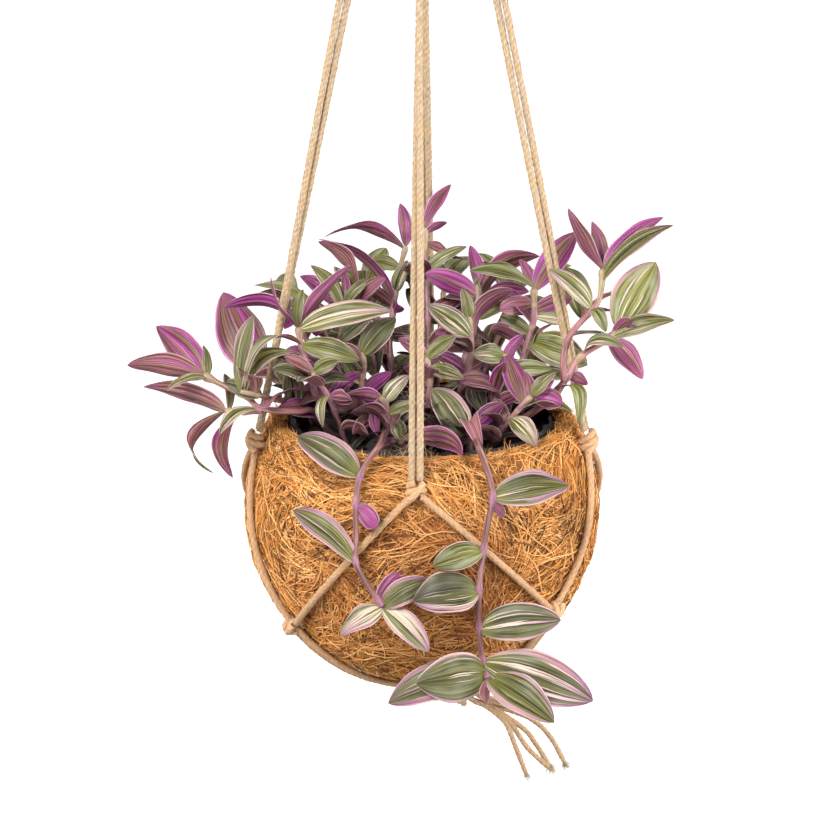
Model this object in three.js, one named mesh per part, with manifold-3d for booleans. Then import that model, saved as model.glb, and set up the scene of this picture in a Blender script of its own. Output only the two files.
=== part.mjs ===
// A trailing tradescantia in a ball of coconut fibre, hung in a knotted jute net.
// Millimetres, +Z up. The origin is where the hook bears on the hang loop, and -Y is the front.
import * as THREE from 'three';
import Module from 'manifold-3d';

const wasm = await Module();
wasm.setup();

// ---- Driving dimensions ----
const POT_RADIUS = 90;
const COIR_THICKNESS = 8.6;
const RIM_HEIGHT = 46.5; // outer edge of the opening, above the ball's centre
const RIM_DIP = 2.5; // the wall's cut top slopes inwards by this much
const LINER_GAP = 0.35;
const LINER_THICKNESS = 0.9;
const LINER_PROUD = 0.6; // film edge that shows above the coir
const SOIL_HEIGHT = 38;
const TOUCH = 0.35; // clearance between pieces that touch
const GATHER_RISE = 440; // gathering knot above the ball's centre
const LOOP_HEIGHT = 38; // gathering knot to where the hook bears
const STRAND_RADIUS = 1.85;
const TAIL_RADIUS = 1.45;
const PAIR_HALF = 2.08; // half the spacing of two strands side by side
const PAIR_TOP = 4.95; // middle of a pair, from the hanger's axis, at the gathering knot
const LOOP_STRAND = 3.1;
const HANG_REACH = 1.5; // how far the rim knots stand off the ball
const KNOT_SIZE = 5.2;
const BLADE = 0.72; // thickness of a leaf
const CLEAR = 0.45; // air kept round a leaf
const BURIED = 11; // length of a stem in the soil
const ROUND_SIDES = 24;
const NET_SIDES = 5;
const HOLE_SLACK = 1.9;
const SUNK = 0.3; // a leaf's foot reaches this far into its stem

const POT_Z = -(GATHER_RISE + LOOP_HEIGHT);
const WALL_R = POT_RADIUS + 1 + STRAND_RADIUS;

// ---- The reference view: places in it are pixels from its left and top edges ----
const VIEW_LIFT = THREE.MathUtils.degToRad(17);
const VIEW_DISTANCE = 2400;
const MM_PER_PIXEL = 0.514;
const BALL_X = 422;
const BALL_Y = 505;
const RIGHT = new THREE.Vector3(1, 0, 0);
const UP = new THREE.Vector3(0, Math.sin(VIEW_LIFT), Math.cos(VIEW_LIFT));
const NEAR = new THREE.Vector3(0, -Math.cos(VIEW_LIFT), Math.sin(VIEW_LIFT));

// The point that the view shows at pixel x, y, standing near mm in front of the ball's centre.
function at(x, y, near) {
  const shrink = 1 - near / VIEW_DISTANCE;
  return new THREE.Vector3(0, 0, POT_Z)
    .addScaledVector(RIGHT, (x - BALL_X) * MM_PER_PIXEL * shrink)
    .addScaledVector(UP, (BALL_Y - y) * MM_PER_PIXEL * shrink)
    .addScaledVector(NEAR, near);
}

// The same, but lift mm outside the ball's face.
function hug(x, y, lift) {
  const a = (x - BALL_X) * MM_PER_PIXEL * 0.965;
  const b = (BALL_Y - y) * MM_PER_PIXEL * 0.965;
  return at(x, y, Math.sqrt(Math.max(0, (POT_RADIUS + lift) ** 2 - a * a - b * b)));
}

// The same, but in the upright plane that lies front mm before the ball's centre.
function fall(x, y, front) {
  const b = (BALL_Y - y) * MM_PER_PIXEL * 0.962;
  const near = (front + b * Math.sin(VIEW_LIFT)) / Math.cos(VIEW_LIFT);
  return at(x, y, near);
}

// A place in the soil's top, from the pot's axis.
function soil(x, y) {
  return new THREE.Vector3(x, y, POT_Z + SOIL_HEIGHT);
}

// A repeatable number from 0 to 1.
function chance(k) {
  const v = Math.sin(k * 12.9898 + 4.1414) * 43758.5453;
  return v - Math.floor(v);
}

// ---- Solids ----
function solidOf(geometry) {
  const g = geometry.clone();
  g.deleteAttribute('normal');
  g.deleteAttribute('uv');
  const m = mergeVertices(g);
  return new wasm.Manifold(new wasm.Mesh(m));
}

function mergeVertices(g) {
  const pos = g.attributes.position;
  const index = g.index ? g.index.array : [...Array(pos.count).keys()];
  const seen = new Map();
  const verts = [];
  const tris = [];
  const number = new Int32Array(pos.count);
  for (let i = 0; i < pos.count; i += 1) {
    const p = [pos.getX(i), pos.getY(i), pos.getZ(i)];
    const key = p.map((v) => Math.round(v * 2000)).join();
    if (!seen.has(key)) {
      seen.set(key, verts.length / 3);
      verts.push(...p);
    }
    number[i] = seen.get(key);
  }
  for (let i = 0; i < index.length; i += 3) {
    const [a, b, c] = [number[index[i]], number[index[i + 1]], number[index[i + 2]]];
    if (a !== b && b !== c && c !== a) tris.push(a, b, c);
  }
  return {
    numProp: 3,
    vertProperties: new Float32Array(verts),
    triVerts: new Uint32Array(tris),
  };
}

function meshOf(solid, name, color, roughness) {
  const m = solid.getMesh();
  const g = new THREE.BufferGeometry();
  g.setAttribute('position', new THREE.BufferAttribute(new Float32Array(m.vertProperties), 3));
  g.setIndex(new THREE.BufferAttribute(new Uint32Array(m.triVerts), 1));
  g.computeVertexNormals();
  const material = new THREE.MeshStandardMaterial({ color, roughness, metalness: 0 });
  const mesh = new THREE.Mesh(g, material);
  mesh.name = name;
  return mesh;
}

function ringShape(radius, sides) {
  const shape = new THREE.Shape();
  for (let i = 0; i < sides; i += 1) {
    const a = ((i + 0.5) / sides) * 2 * Math.PI;
    if (i === 0) shape.moveTo(radius * Math.cos(a), radius * Math.sin(a));
    else shape.lineTo(radius * Math.cos(a), radius * Math.sin(a));
  }
  shape.closePath();
  return shape;
}

function tube(curve, radius, sides, steps) {
  const opts = { steps, extrudePath: curve, bevelEnabled: false, curveSegments: 1 };
  return solidOf(new THREE.ExtrudeGeometry(ringShape(radius, sides), opts));
}

function through(points) {
  return new THREE.CatmullRomCurve3(points, false, 'catmullrom', 0.5);
}

function ball(centre, rx, ry, rz, grow = 0, sides = 8) {
  const g = new THREE.SphereGeometry(1, sides, sides === 6 ? 4 : 6);
  g.scale(rx + grow, ry + grow, rz + grow);
  g.translate(centre.x, centre.y, centre.z);
  return solidOf(g);
}

function lathe(profile) {
  const pts = profile.map(([r, z]) => new THREE.Vector2(r, z));
  const g = new THREE.LatheGeometry(pts, ROUND_SIDES);
  g.rotateX(Math.PI / 2);
  g.translate(0, 0, POT_Z);
  const solid = solidOf(g);
  return solid.volume() < 0 ? solidOf(flip(g)) : solid;
}

function flip(g) {
  const f = g.clone();
  const a = f.index.array;
  for (let i = 0; i < a.length; i += 3) [a[i], a[i + 1]] = [a[i + 1], a[i]];
  return f;
}

// ---- Pot, film and soil ----
// Points of a ball's half section, in the r, z plane, at these latitudes in degrees.
function arc(radius, latitudes) {
  return latitudes.map((degrees) => {
    const lat = THREE.MathUtils.degToRad(degrees);
    return [degrees === -90 ? 0 : radius * Math.cos(lat), radius * Math.sin(lat)];
  });
}

function latitudeAt(radius, height) {
  return THREE.MathUtils.radToDeg(Math.asin(height / radius));
}

const coirInner = POT_RADIUS - COIR_THICKNESS;
const filmOuter = coirInner - LINER_GAP;
const filmInner = filmOuter - LINER_THICKNESS;
const soilRadius = filmInner - LINER_GAP;

const rimLatitude = latitudeAt(POT_RADIUS, RIM_HEIGHT);
const outside = [-90, -70, -52, -34, -16, 2, 18, rimLatitude];
// The faces that lie on each other bend at the same latitudes.
const inside = [-90, -60, -30, 0, latitudeAt(soilRadius, SOIL_HEIGHT)];
const coirTop = latitudeAt(coirInner, RIM_HEIGHT - RIM_DIP);
const filmTop = latitudeAt(filmInner, RIM_HEIGHT + LINER_PROUD);
const coirBack = arc(coirInner, [...inside, coirTop]).reverse();
const coirShell = lathe([...arc(POT_RADIUS, outside), ...coirBack]);
const filmBack = arc(filmInner, [...inside, coirTop, filmTop]).reverse();
const liner = lathe([...arc(filmOuter, [...inside, coirTop, filmTop]), ...filmBack]);
let soilBody = lathe([...arc(soilRadius, inside), [0, SOIL_HEIGHT]]);

// ---- Jute ----
// A place at azimuth az and latitude lat, in degrees, at a distance from the ball's centre.
function onBall(az, lat, distance) {
  const [a, l] = [az, lat].map(THREE.MathUtils.degToRad);
  const v = new THREE.Vector3(Math.cos(l) * Math.cos(a), Math.cos(l) * Math.sin(a), Math.sin(l));
  return v.multiplyScalar(distance).add(new THREE.Vector3(0, 0, POT_Z));
}

function fromCentre(p) {
  return p.clone().sub(new THREE.Vector3(0, 0, POT_Z));
}

const LEGS = [
  { name: 'front', az: -92, lat: 21 },
  { name: 'right', az: -12, lat: 24.8 },
  { name: 'back', az: 88, lat: 24 },
  { name: 'left', az: 192, lat: 24.8 },
];
const NET_KNOTS = [
  { name: 'front_right', az: -39, lat: -25, legs: [0, 1] },
  { name: 'back_right', az: 45, lat: -29, legs: [1, 2] },
  { name: 'back_left', az: 135, lat: -29, legs: [2, 3] },
  { name: 'front_left', az: -146, lat: -33, legs: [3, 0] },
];
const BOTTOM_KNOT = { az: -20, lat: -78, size: 8.6 };

const gather = new THREE.Vector3(0, 0, -LOOP_HEIGHT);
const rimKnots = LEGS.map((leg) => onBall(leg.az, leg.lat, WALL_R + HANG_REACH));
const netKnots = NET_KNOTS.map((k) => onBall(k.az, k.lat, WALL_R + 0.6));
const bottomKnot = onBall(BOTTOM_KNOT.az, BOTTOM_KNOT.lat, POT_RADIUS + 0.4 + BOTTOM_KNOT.size * 0.86);

// The loop rises from the gathering knot, its eye open towards the front.
function loopCurve() {
  const [half, low] = [11, -LOOP_HEIGHT + 3];
  const top = LOOP_STRAND;
  return through([
    new THREE.Vector3(-2.2, 0, low),
    new THREE.Vector3(-half * 0.8, 0, low + 12),
    new THREE.Vector3(-half, 0, -12),
    new THREE.Vector3(-half * 0.72, 0, top - 4.6),
    new THREE.Vector3(0, 0, top),
    new THREE.Vector3(half * 0.72, 0, top - 4.6),
    new THREE.Vector3(half, 0, -12),
    new THREE.Vector3(half * 0.8, 0, low + 12),
    new THREE.Vector3(2.2, 0, low),
  ]);
}

function gatherKnot(grow) {
  return ball(gather, 10.6, 10.6, 9.2, grow);
}

const hangLoop = tube(loopCurve(), LOOP_STRAND, 8, 12).add(gatherKnot(0));

// The middle line of strand 0 or 1 of a leg. At the gathering knot one strand of the pair lies outside
// the other; lower down they turn a quarter round each other, to lie side by side on the ball.
function legLine(i, k) {
  const out = THREE.MathUtils.degToRad(LEGS[i].az);
  const far = new THREE.Vector3(Math.cos(out), Math.sin(out), 0);
  const top = far.clone().multiplyScalar(PAIR_TOP).setZ(gather.z - 4);
  const pts = [];
  for (let step = 0; step <= 5; step += 1) {
    const s = step / 5;
    const a = out + (k ? Math.PI : 0) + (Math.PI / 2) * Math.max(0, (s - 0.4) / 0.6);
    const side = new THREE.Vector3(Math.cos(a), Math.sin(a), 0).multiplyScalar(PAIR_HALF);
    pts.push(top.clone().lerp(rimKnots[i], s).add(side));
  }
  return through(pts);
}

function rimKnot(i, grow) {
  const p = rimKnots[i];
  return ball(p, KNOT_SIZE, KNOT_SIZE, KNOT_SIZE * 1.2, grow, 6);
}

// The shortest way over the ball from p to q, and then moved aside.
function overBall(p, q, aside, steps) {
  const a = fromCentre(p);
  const b = fromCentre(q);
  const push = new THREE.Vector3().crossVectors(a, b).setLength(aside);
  const [ra, rb] = [a.length(), b.length()];
  const pts = [];
  for (let s = 0; s <= steps; s += 1) {
    const t = s / steps;
    const v = a.clone().normalize().lerp(b.clone().normalize(), t).normalize();
    const ease = Math.min(1, 6 * t, 6 * (1 - t));
    const reach = THREE.MathUtils.lerp(THREE.MathUtils.lerp(ra, rb, t), WALL_R, ease);
    pts.push(v.multiplyScalar(reach).add(push).add(new THREE.Vector3(0, 0, POT_Z)));
  }
  return through(pts);
}

// The knots press on the coir, so they are flat there.
const pressed = lathe([...arc(POT_RADIUS + 0.3, outside), [0, RIM_HEIGHT + 6]]);
const netParts = [];
for (let i = 0; i < 4; i += 1) {
  netParts.push(rimKnot(i, 0).subtract(pressed));
  netParts.push(ball(netKnots[i], KNOT_SIZE, KNOT_SIZE, KNOT_SIZE, 0, 6).subtract(pressed));
  for (const leg of NET_KNOTS[i].legs) {
    netParts.push(tube(overBall(rimKnots[leg], netKnots[i], 0, 8), STRAND_RADIUS, NET_SIDES, 6));
  }
  for (const k of [-1, 1]) {
    const way = overBall(netKnots[i], bottomKnot, k * PAIR_HALF, 6);
    netParts.push(tube(way, STRAND_RADIUS, NET_SIDES, 4));
  }
}
const bottomBall = (grow) => ball(bottomKnot, 9.6, 9.6, BOTTOM_KNOT.size, grow);
netParts.push(bottomBall(0));
const hangerNet = wasm.Manifold.union(netParts);

const upperStrands = [];
for (let i = 0; i < 4; i += 1) {
  for (const k of [0, 1]) {
    const solid = tube(legLine(i, k), STRAND_RADIUS, 8, 4)
      .subtract(gatherKnot(TOUCH))
      .subtract(rimKnot(i, TOUCH));
    upperStrands.push({ name: `upper_strand_${LEGS[i].name}_${k + 1}`, solid });
  }
}

// The cut ends of the eight strands leave the bottom knot in two rows and sweep to the right.
const TAILS = [
  [at(488, 700, -15), at(506, 704, -11), at(524, 703, -6), at(541, 706, 0)],
  [at(490, 700, -21), at(503, 704, -20), at(519, 706, -17), at(538, 709, -12)],
  [at(492, 701, -26), at(506, 704, -30), at(520, 705, -33), at(541, 708, -33)],
  [at(494, 699, -32), at(506, 701, -42), at(520, 703, -54), at(530, 706, -60)],
  [at(486, 706, -17), at(505, 722, -17), at(515, 745, -20), at(527, 776, -24)],
  [at(488, 706, -21), at(511, 724, -24), at(528, 748, -28), at(552, 770, -33)],
  [at(490, 706, -26), at(523, 728, -31), at(536, 744, -35), at(551, 768, -42)],
  [at(492, 705, -31), at(528, 717, -38), at(549, 735, -45), at(566, 765, -53)],
];
const exitWay = RIGHT.clone().multiplyScalar(0.82).addScaledVector(UP, -0.57);
const exitUp = RIGHT.clone().multiplyScalar(0.57).addScaledVector(UP, 0.82);
const tails = TAILS.map((points, i) => {
  const column = 5.4 - 3.6 * (i % 4);
  const row = i < 4 ? 1.9 : -1.9;
  const out = (far) => bottomKnot.clone().addScaledVector(exitWay, far)
    .addScaledVector(NEAR, column).addScaledVector(exitUp, row);
  const solid = tube(through([out(3), out(11), ...points]), TAIL_RADIUS, 8, 5).subtract(bottomBall(TOUCH));
  return { name: `tail_${i + 1}`, solid };
});

// ---- Leafy stems ----
// leaf(x, y, tip x, tip y, seen width, face seen, how far the tip comes forward, bow)
function leaf(x, y, tx, ty, wide, face, out, bow = 0.12) {
  return { x, y, tx, ty, wide, face, out, bow };
}

const SHOOTS = [
  ['trail_left', 2.0, [
    [soil(-18, -49), at(387, 434, 62), at(384, 435, 73), hug(379, 446, 10), hug(366, 464, 8),
      hug(359, 480, 8),
      hug(356, 504, 8), hug(356, 538, 8.5), fall(355, 559, 99), fall(362, 576, 99),
      fall(371, 590, 98), fall(383, 607, 97)],
  ], [
    leaf(356, 475, 298, 436, 33, 't', -12),
    leaf(356, 506, 375, 528, 18, 'u', 8),
    leaf(352, 563, 293, 510, 22, 't', -8),
    leaf(383, 607, 340, 636, 24, 't', 6),
    leaf(383, 607, 429, 580, 24, 't', 2, 0.18),
    leaf(383, 607, 429, 652, 25, 't', 8),
    leaf(378, 600, 402, 570, 14, 'u', -4),
  ]],
  ['trail_right', 2.0, [
    [soil(24, -48), at(470, 434, 61), at(473, 435, 72), hug(478, 446, 10), hug(485, 464, 8),
      hug(491, 484, 8),
      hug(493, 500, 8), hug(487, 527, 8), hug(483, 553, 8.5), fall(479, 589, 99),
      fall(479, 622, 98), fall(481, 650, 97), fall(485, 668, 98), fall(489, 679, 106)],
  ], [
    leaf(494, 499, 569, 486, 36, 't', -2),
    leaf(493, 502, 503, 517, 9, 'u', 5),
    leaf(483, 552, 433, 566, 25, 't', 4),
    leaf(479, 595, 413, 601, 43, 't', 5),
    leaf(480, 632, 561, 620, 36, 't', 3),
    leaf(482, 662, 593, 701, 47, 't', 3, 0.16),
    leaf(488, 677, 554, 722, 36, 't', 12),
    leaf(486, 672, 416, 683, 50, 't', 14),
    leaf(485, 668, 388, 703, 42, 't', 0),
    leaf(489, 679, 486, 704, 12, 'u', 16),
  ]],
  ['branch_left', 2.1, [
    [soil(-43, -21), at(316, 412, 38), at(298, 412, 45), at(277, 411, 49), at(258, 407, 49), at(248, 398, 47),
      at(228, 388, 43), at(203, 375, 40)],
    [at(262, 410, 49), at(245, 412, 48), at(225, 411, 45)],
  ], [
    leaf(203, 375, 156, 326, 33, 'u', -4),
    leaf(203, 375, 127, 365, 22, 'u', 10),
    leaf(205, 376, 166, 391, 12, 't', 12),
    leaf(207, 377, 203, 345, 10, 't', -6),
    leaf(226, 411, 143, 387, 22, 'u', -10),
    leaf(228, 411, 223, 366, 13, 't', -10),
    leaf(226, 411, 214, 473, 12, 'u', 10, 0.5),
    leaf(258, 410, 219, 435, 11, 't', 8, 0.25),
    leaf(243, 412, 233, 478, 12, 'u', -4, 0.3),
  ]],
  ['stem_left_low', 1.8, [
    [soil(-50, -2), at(300, 396, 8), at(282, 384, 2), at(262, 374, 0), at(254, 370, 0)],
  ], [
    leaf(255, 371, 223, 292, 50, 'u', -8, 0.08),
    leaf(262, 374, 247, 336, 20, 'u', 6),
  ]],
  ['stem_left_front', 1.6, [
    [soil(-47, -13), at(300, 404, 30), at(276, 400, 43), at(258, 395, 54), at(240, 391, 57)],
  ], [
    leaf(240, 392, 253, 315, 14, 't', 4, 0.05),
    leaf(246, 393, 292, 352, 12, 't', -2, 0.3),
  ]],
  ['stem_left_high', 1.8, [
    [soil(-38, -28), at(318, 400, 46), at(309, 368, 46), at(301, 345, 44), at(299, 326, 44)],
  ], [
    leaf(299, 332, 214, 304, 11, 'u', 4, 0.22),
    leaf(299, 325, 272, 278, 10, 'u', 2, -0.12),
    leaf(300, 346, 246, 392, 15, 't', 6, 0.3),
    leaf(299, 330, 393, 311, 27, 't', 6, 0.18),
    leaf(299, 326, 303, 289, 10, 't', 0),
    leaf(299, 325, 352, 265, 11, 'u', -4, 0.05),
    leaf(300, 346, 360, 360, 22, 't', 8),
    leaf(306, 362, 280, 366, 13, 'u', -6),
  ]],
  ['stem_left_rim', 1.5, [
    [soil(-52, -8), at(306, 412, 21), at(295, 407, 22)],
  ], [
    leaf(293, 413, 289, 371, 21, 't', 0),
    leaf(298, 413, 320, 380, 14, 'u', 4),
  ]],
  ['stem_left_back', 1.7, [
    [soil(-36, 14), at(336, 370, 0), at(342, 330, -6), at(344, 303, -8)],
  ], [
    leaf(343, 304, 343, 271, 10, 'u', 0),
    leaf(344, 303, 370, 280, 12, 't', -6),
    leaf(344, 303, 316, 292, 12, 'u', -4),
    leaf(342, 316, 311, 266, 14, 't', -10),
    leaf(342, 322, 299, 275, 12, 'u', -14),
    leaf(340, 340, 374, 316, 18, 't', 4),
    leaf(338, 352, 312, 338, 14, 'u', 2),
  ]],
  ['stem_top_left', 1.8, [
    [soil(-12, 22), at(390, 350, -12), at(394, 305, -16), at(400, 268, -18), at(406, 246, -18)],
  ], [
    leaf(406, 250, 323, 238, 13, 'u', 4, 0.22),
    leaf(405, 246, 400, 203, 14, 'u', -4),
    leaf(394, 307, 317, 239, 15, 'u', 6, 0.18),
    leaf(397, 290, 408, 260, 14, 't', 10),
    leaf(394, 307, 362, 285, 14, 'u', 10),
    leaf(401, 270, 372, 262, 16, 't', -12),
    leaf(392, 330, 352, 322, 18, 't', 2),
  ]],
  ['stem_left_inner', 1.7, [
    [soil(-26, -18), at(362, 392, 36), at(364, 368, 40), at(362, 352, 42)],
  ], [
    leaf(362, 355, 396, 318, 26, 't', 4),
    leaf(362, 356, 372, 324, 10, 'u', -6),
    leaf(363, 372, 329, 401, 13, 'u', 10),
    leaf(362, 385, 340, 356, 16, 't', -4),
    leaf(362, 396, 392, 372, 14, 'u', -6),
  ]],
  ['stem_left_brown', 1.5, [
    [soil(-37, -42), at(330, 400, 60), at(320, 384, 62), at(312, 371, 62)],
  ], [
    leaf(314, 373, 338, 360, 14, 't', 2),
    leaf(313, 372, 284, 356, 12, 'u', -4),
    leaf(328, 398, 352, 400, 16, 'u', 8),
    leaf(326, 396, 323, 428, 11, 't', 8, 0.3),
  ]],
  ['stem_front_left', 1.7, [
    [soil(-14, -40), at(388, 424, 60), at(386, 405, 64), at(380, 396, 66)],
  ], [
    leaf(384, 402, 409, 375, 17, 't', 2),
    leaf(380, 398, 379, 437, 12, 'u', 10, 0.2),
    leaf(386, 408, 352, 434, 14, 'u', 8),
    leaf(382, 398, 346, 394, 15, 'u', 2),
    leaf(387, 414, 418, 404, 14, 't', 2),
  ]],
  ['stem_front_rim', 1.5, [
    [soil(-3, -49), at(404, 446, 62), at(400, 439, 66)],
  ], [
    leaf(400, 440, 374, 459, 14, 'u', 22, 0.25),
    leaf(401, 440, 462, 457, 18, 'u', 18, 0.2),
    leaf(400, 440, 394, 418, 14, 't', 0),
  ]],
  ['stem_top_back', 1.7, [
    [soil(4, 26), at(428, 340, -10), at(427, 290, -12), at(426, 256, -14), at(425, 228, -14)],
  ], [
    leaf(425, 228, 451, 184, 12, 'u', 4, 0.08),
    leaf(425, 233, 447, 222, 8, 'u', 6),
    leaf(426, 243, 449, 253, 11, 'u', 8),
    leaf(426, 272, 467, 247, 15, 't', 6),
    leaf(426, 290, 396, 268, 14, 't', -8),
    leaf(427, 315, 462, 298, 16, 'u', -6),
  ]],
  ['stem_top_mid', 1.8, [
    [soil(20, 10), at(462, 370, 6), at(474, 330, 4), at(479, 300, 4), at(478, 284, 4)],
  ], [
    leaf(478, 290, 470, 245, 14, 'u', 0),
    leaf(478, 296, 425, 274, 22, 'u', 8, 0.16),
    leaf(477, 285, 480, 250, 9, 't', 4),
    leaf(478, 300, 540, 256, 16, 'u', 6, 0.25),
    leaf(474, 330, 440, 318, 14, 't', -8),
    leaf(476, 318, 512, 300, 18, 't', -6),
  ]],
  ['stem_mid', 1.8, [
    [soil(16, -8), at(458, 398, 30), at(470, 362, 30), at(471, 335, 30), at(469, 317, 30)],
  ], [
    leaf(470, 318, 462, 288, 16, 't', 0),
    leaf(471, 338, 427, 305, 22, 't', 6),
    leaf(470, 329, 514, 290, 12, 'u', 4, 0.2),
    leaf(469, 345, 446, 338, 12, 't', 10),
    leaf(465, 372, 434, 352, 16, 'u', -4),
    leaf(466, 370, 496, 352, 16, 'u', -4),
  ]],
  ['stem_right_high', 1.9, [
    [soil(36, 4), at(510, 392, 18), at(526, 350, 20), at(534, 316, 22), at(534, 288, 22)],
  ], [
    leaf(534, 290, 577, 232, 25, 'u', 6, 0.1),
    leaf(534, 312, 572, 298, 17, 'u', 8),
    leaf(534, 288, 469, 271, 14, 't', 8, 0.14),
    leaf(533, 287, 519, 259, 10, 'u', -6),
    leaf(533, 304, 500, 310, 18, 'u', 10),
    leaf(530, 334, 500, 316, 15, 't', -8),
    leaf(528, 348, 488, 338, 13, 'u', 12, 0.4),
    leaf(529, 342, 588, 365, 33, 't', 14, 0.12),
    leaf(534, 316, 564, 322, 14, 't', -8),
  ]],
  ['stem_right_mid', 1.7, [
    [soil(25, -24), at(488, 412, 44), at(500, 386, 46), at(506, 366, 46), at(504, 354, 46)],
  ], [
    leaf(504, 356, 472, 354, 19, 't', 8),
    leaf(506, 372, 552, 369, 16, 't', 8),
    leaf(501, 384, 466, 386, 15, 'u', 4),
    leaf(505, 360, 524, 334, 14, 'u', -6),
    leaf(492, 404, 505, 364, 14, 'u', 10),
    leaf(490, 408, 524, 392, 13, 'u', 8),
  ]],
  ['stem_front_mid', 1.7, [
    [soil(3, -28), at(429, 404, 50), at(430, 378, 54), at(427, 358, 54)],
  ], [
    leaf(427, 358, 456, 336, 16, 't', 2),
    leaf(429, 368, 464, 379, 15, 't', 8),
    leaf(427, 360, 398, 338, 15, 'u', -4),
    leaf(430, 386, 404, 366, 14, 'u', 2),
    leaf(429, 396, 408, 416, 14, 'u', 6),
  ]],
  ['stem_front_right', 1.7, [
    [soil(12, -42), at(456, 445, 54), at(465, 436, 56), at(473, 428, 58)],
  ], [
    leaf(468, 438, 432, 388, 33, 't', 4, 0.08),
    leaf(473, 430, 504, 403, 17, 'u', 2),
    leaf(470, 436, 486, 458, 17, 't', 8, 0.3),
    leaf(472, 431, 499, 440, 14, 'u', 8, 0.35),
  ]],
  ['stem_right_front', 1.7, [
    [soil(33, -37), at(506, 424, 56), at(520, 408, 60), at(532, 396, 62)],
  ], [
    leaf(530, 398, 526, 372, 13, 'u', 2),
    leaf(531, 397, 562, 404, 20, 'u', 6, 0.2),
    leaf(512, 420, 536, 446, 20, 't', 8, 0.2),
    leaf(508, 426, 494, 398, 13, 'u', 4),
    leaf(532, 396, 556, 372, 14, 't', -4),
  ]],
  ['branch_right', 2.2, [
    [soil(43, -23), at(521, 421, 40), at(550, 399, 50), at(568, 376, 55), at(580, 357, 56),
      at(607, 340, 54), at(618, 330, 54)],
    [at(564, 381, 55), at(564, 356, 56), at(571, 334, 56), at(590, 312, 52), at(599, 300, 50),
      at(602, 283, 49), at(603, 268, 48)],
  ], [
    leaf(603, 270, 568, 208, 12, 'u', 2, -0.05),
    leaf(603, 269, 592, 221, 16, 'u', -6),
    leaf(603, 272, 664, 217, 17, 'u', -8, 0.1),
    leaf(602, 280, 674, 225, 18, 't', 8, 0.12),
    leaf(592, 310, 549, 269, 17, 't', 6),
    leaf(592, 309, 606, 332, 13, 't', 8, 0.25),
    leaf(618, 330, 656, 262, 42, 't', -2, 0.06),
    leaf(612, 337, 675, 320, 20, 't', 8),
    leaf(609, 339, 643, 379, 23, 'u', -4, 0.15),
    leaf(612, 336, 632, 320, 13, 'u', 14),
    leaf(584, 355, 624, 347, 9, 't', 12, 0.3),
    leaf(568, 376, 588, 384, 13, 'u', 2),
    leaf(558, 390, 578, 424, 12, 't', 14, 0.45),
  ]],
];

// Stems that the view hides behind the others: each leans out from the pot's axis.
function hiddenStem(k) {
  const inner = k % 2 === 1;
  const az = THREE.MathUtils.degToRad(12 + k * 21 + (k > 3 ? 8 : 0) + 5 * chance(k + 1));
  const near = inner ? 34 + 5 * chance(k + 20) : 53 + 4 * chance(k + 20);
  const reach = near + (inner ? 15 : 29) + 8 * chance(k + 40);
  const rise = (inner ? 60 : 47) + 10 * chance(k + 60);
  const [c, s] = [Math.cos(az), Math.sin(az)];
  const high = SOIL_HEIGHT + POT_Z;
  const middle = near * 0.4 + reach * 0.6;
  const line = [
    soil(near * c, near * s),
    new THREE.Vector3((near + 3) * c, (near + 3) * s, high + rise * 0.4),
    new THREE.Vector3(middle * c, middle * s, high + rise * 0.76),
    new THREE.Vector3(reach * c, reach * s, high + rise),
  ];
  const leaves = [0.45, 0.66, 0.84, 1, 1].map((along, j) => ({
    along,
    turn: az + (j % 2 ? 1 : -1) * (0.5 + 0.9 * chance(k * 9 + j)) + (j > 2 ? 0.3 : 0),
    rise: (j > 2 ? 0.3 : 0.05) + 0.35 * chance(k * 11 + j),
    length: 27 + 12 * chance(k * 7 + j),
    width: 12 + 5 * chance(k * 5 + j),
  }));
  return { name: `stem_back_${k + 1}`, radius: 1.6, lines: [line], leaves };
}
const HIDDEN_STEMS = 8;

// Half the width of a blade at u, from 0 at its foot to 1 at its tip, as a share of the widest.
// It is fullest at 0.43, round at the foot and pointed at the tip.
function outline(u) {
  return 2.56 * u ** 0.6 * (1 - u) ** 0.8;
}

// A blade from foot to tip. It bows towards its top face and folds up along its midrib.
function blade(b, thick, from = 0, grow = 0) {
  const long = b.tip.distanceTo(b.foot);
  const stations = long > 41 ? [0, 0.16, 0.43, 0.76, 1] : [0, 0.25, 0.66, 1];
  const folds = b.width > 19 ? 2 : 1;
  const g = new THREE.BoxGeometry(2, 1, 1, folds, stations.length - 1, 1);
  const chord = b.tip.clone().sub(b.foot).normalize();
  const side = new THREE.Vector3().crossVectors(chord, b.top).normalize();
  const bend = b.foot.clone().add(b.tip).multiplyScalar(0.5).addScaledVector(b.top, 2 * b.bow * long);
  const line = new THREE.QuadraticBezierCurve3(b.foot, bend, b.tip);
  const pos = g.attributes.position;
  for (let i = 0; i < pos.count; i += 1) {
    const [s, k] = [pos.getX(i), pos.getZ(i)];
    const row = Math.round((pos.getY(i) + 0.5) * (stations.length - 1));
    const u = from + (1 - from) * stations[row];
    const half = Math.max(0.35, (b.width / 2) * outline(u)) + grow;
    const lift = folds === 2 ? Math.abs(s) * half * b.fold : 0;
    const up = new THREE.Vector3().crossVectors(side, line.getTangent(u)).normalize();
    const p = line.getPoint(u).addScaledVector(side, s * half * 0.97);
    p.addScaledVector(up, lift + k * thick);
    pos.setXYZ(i, p.x, p.y, p.z);
  }
  return solidOf(g);
}

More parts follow.
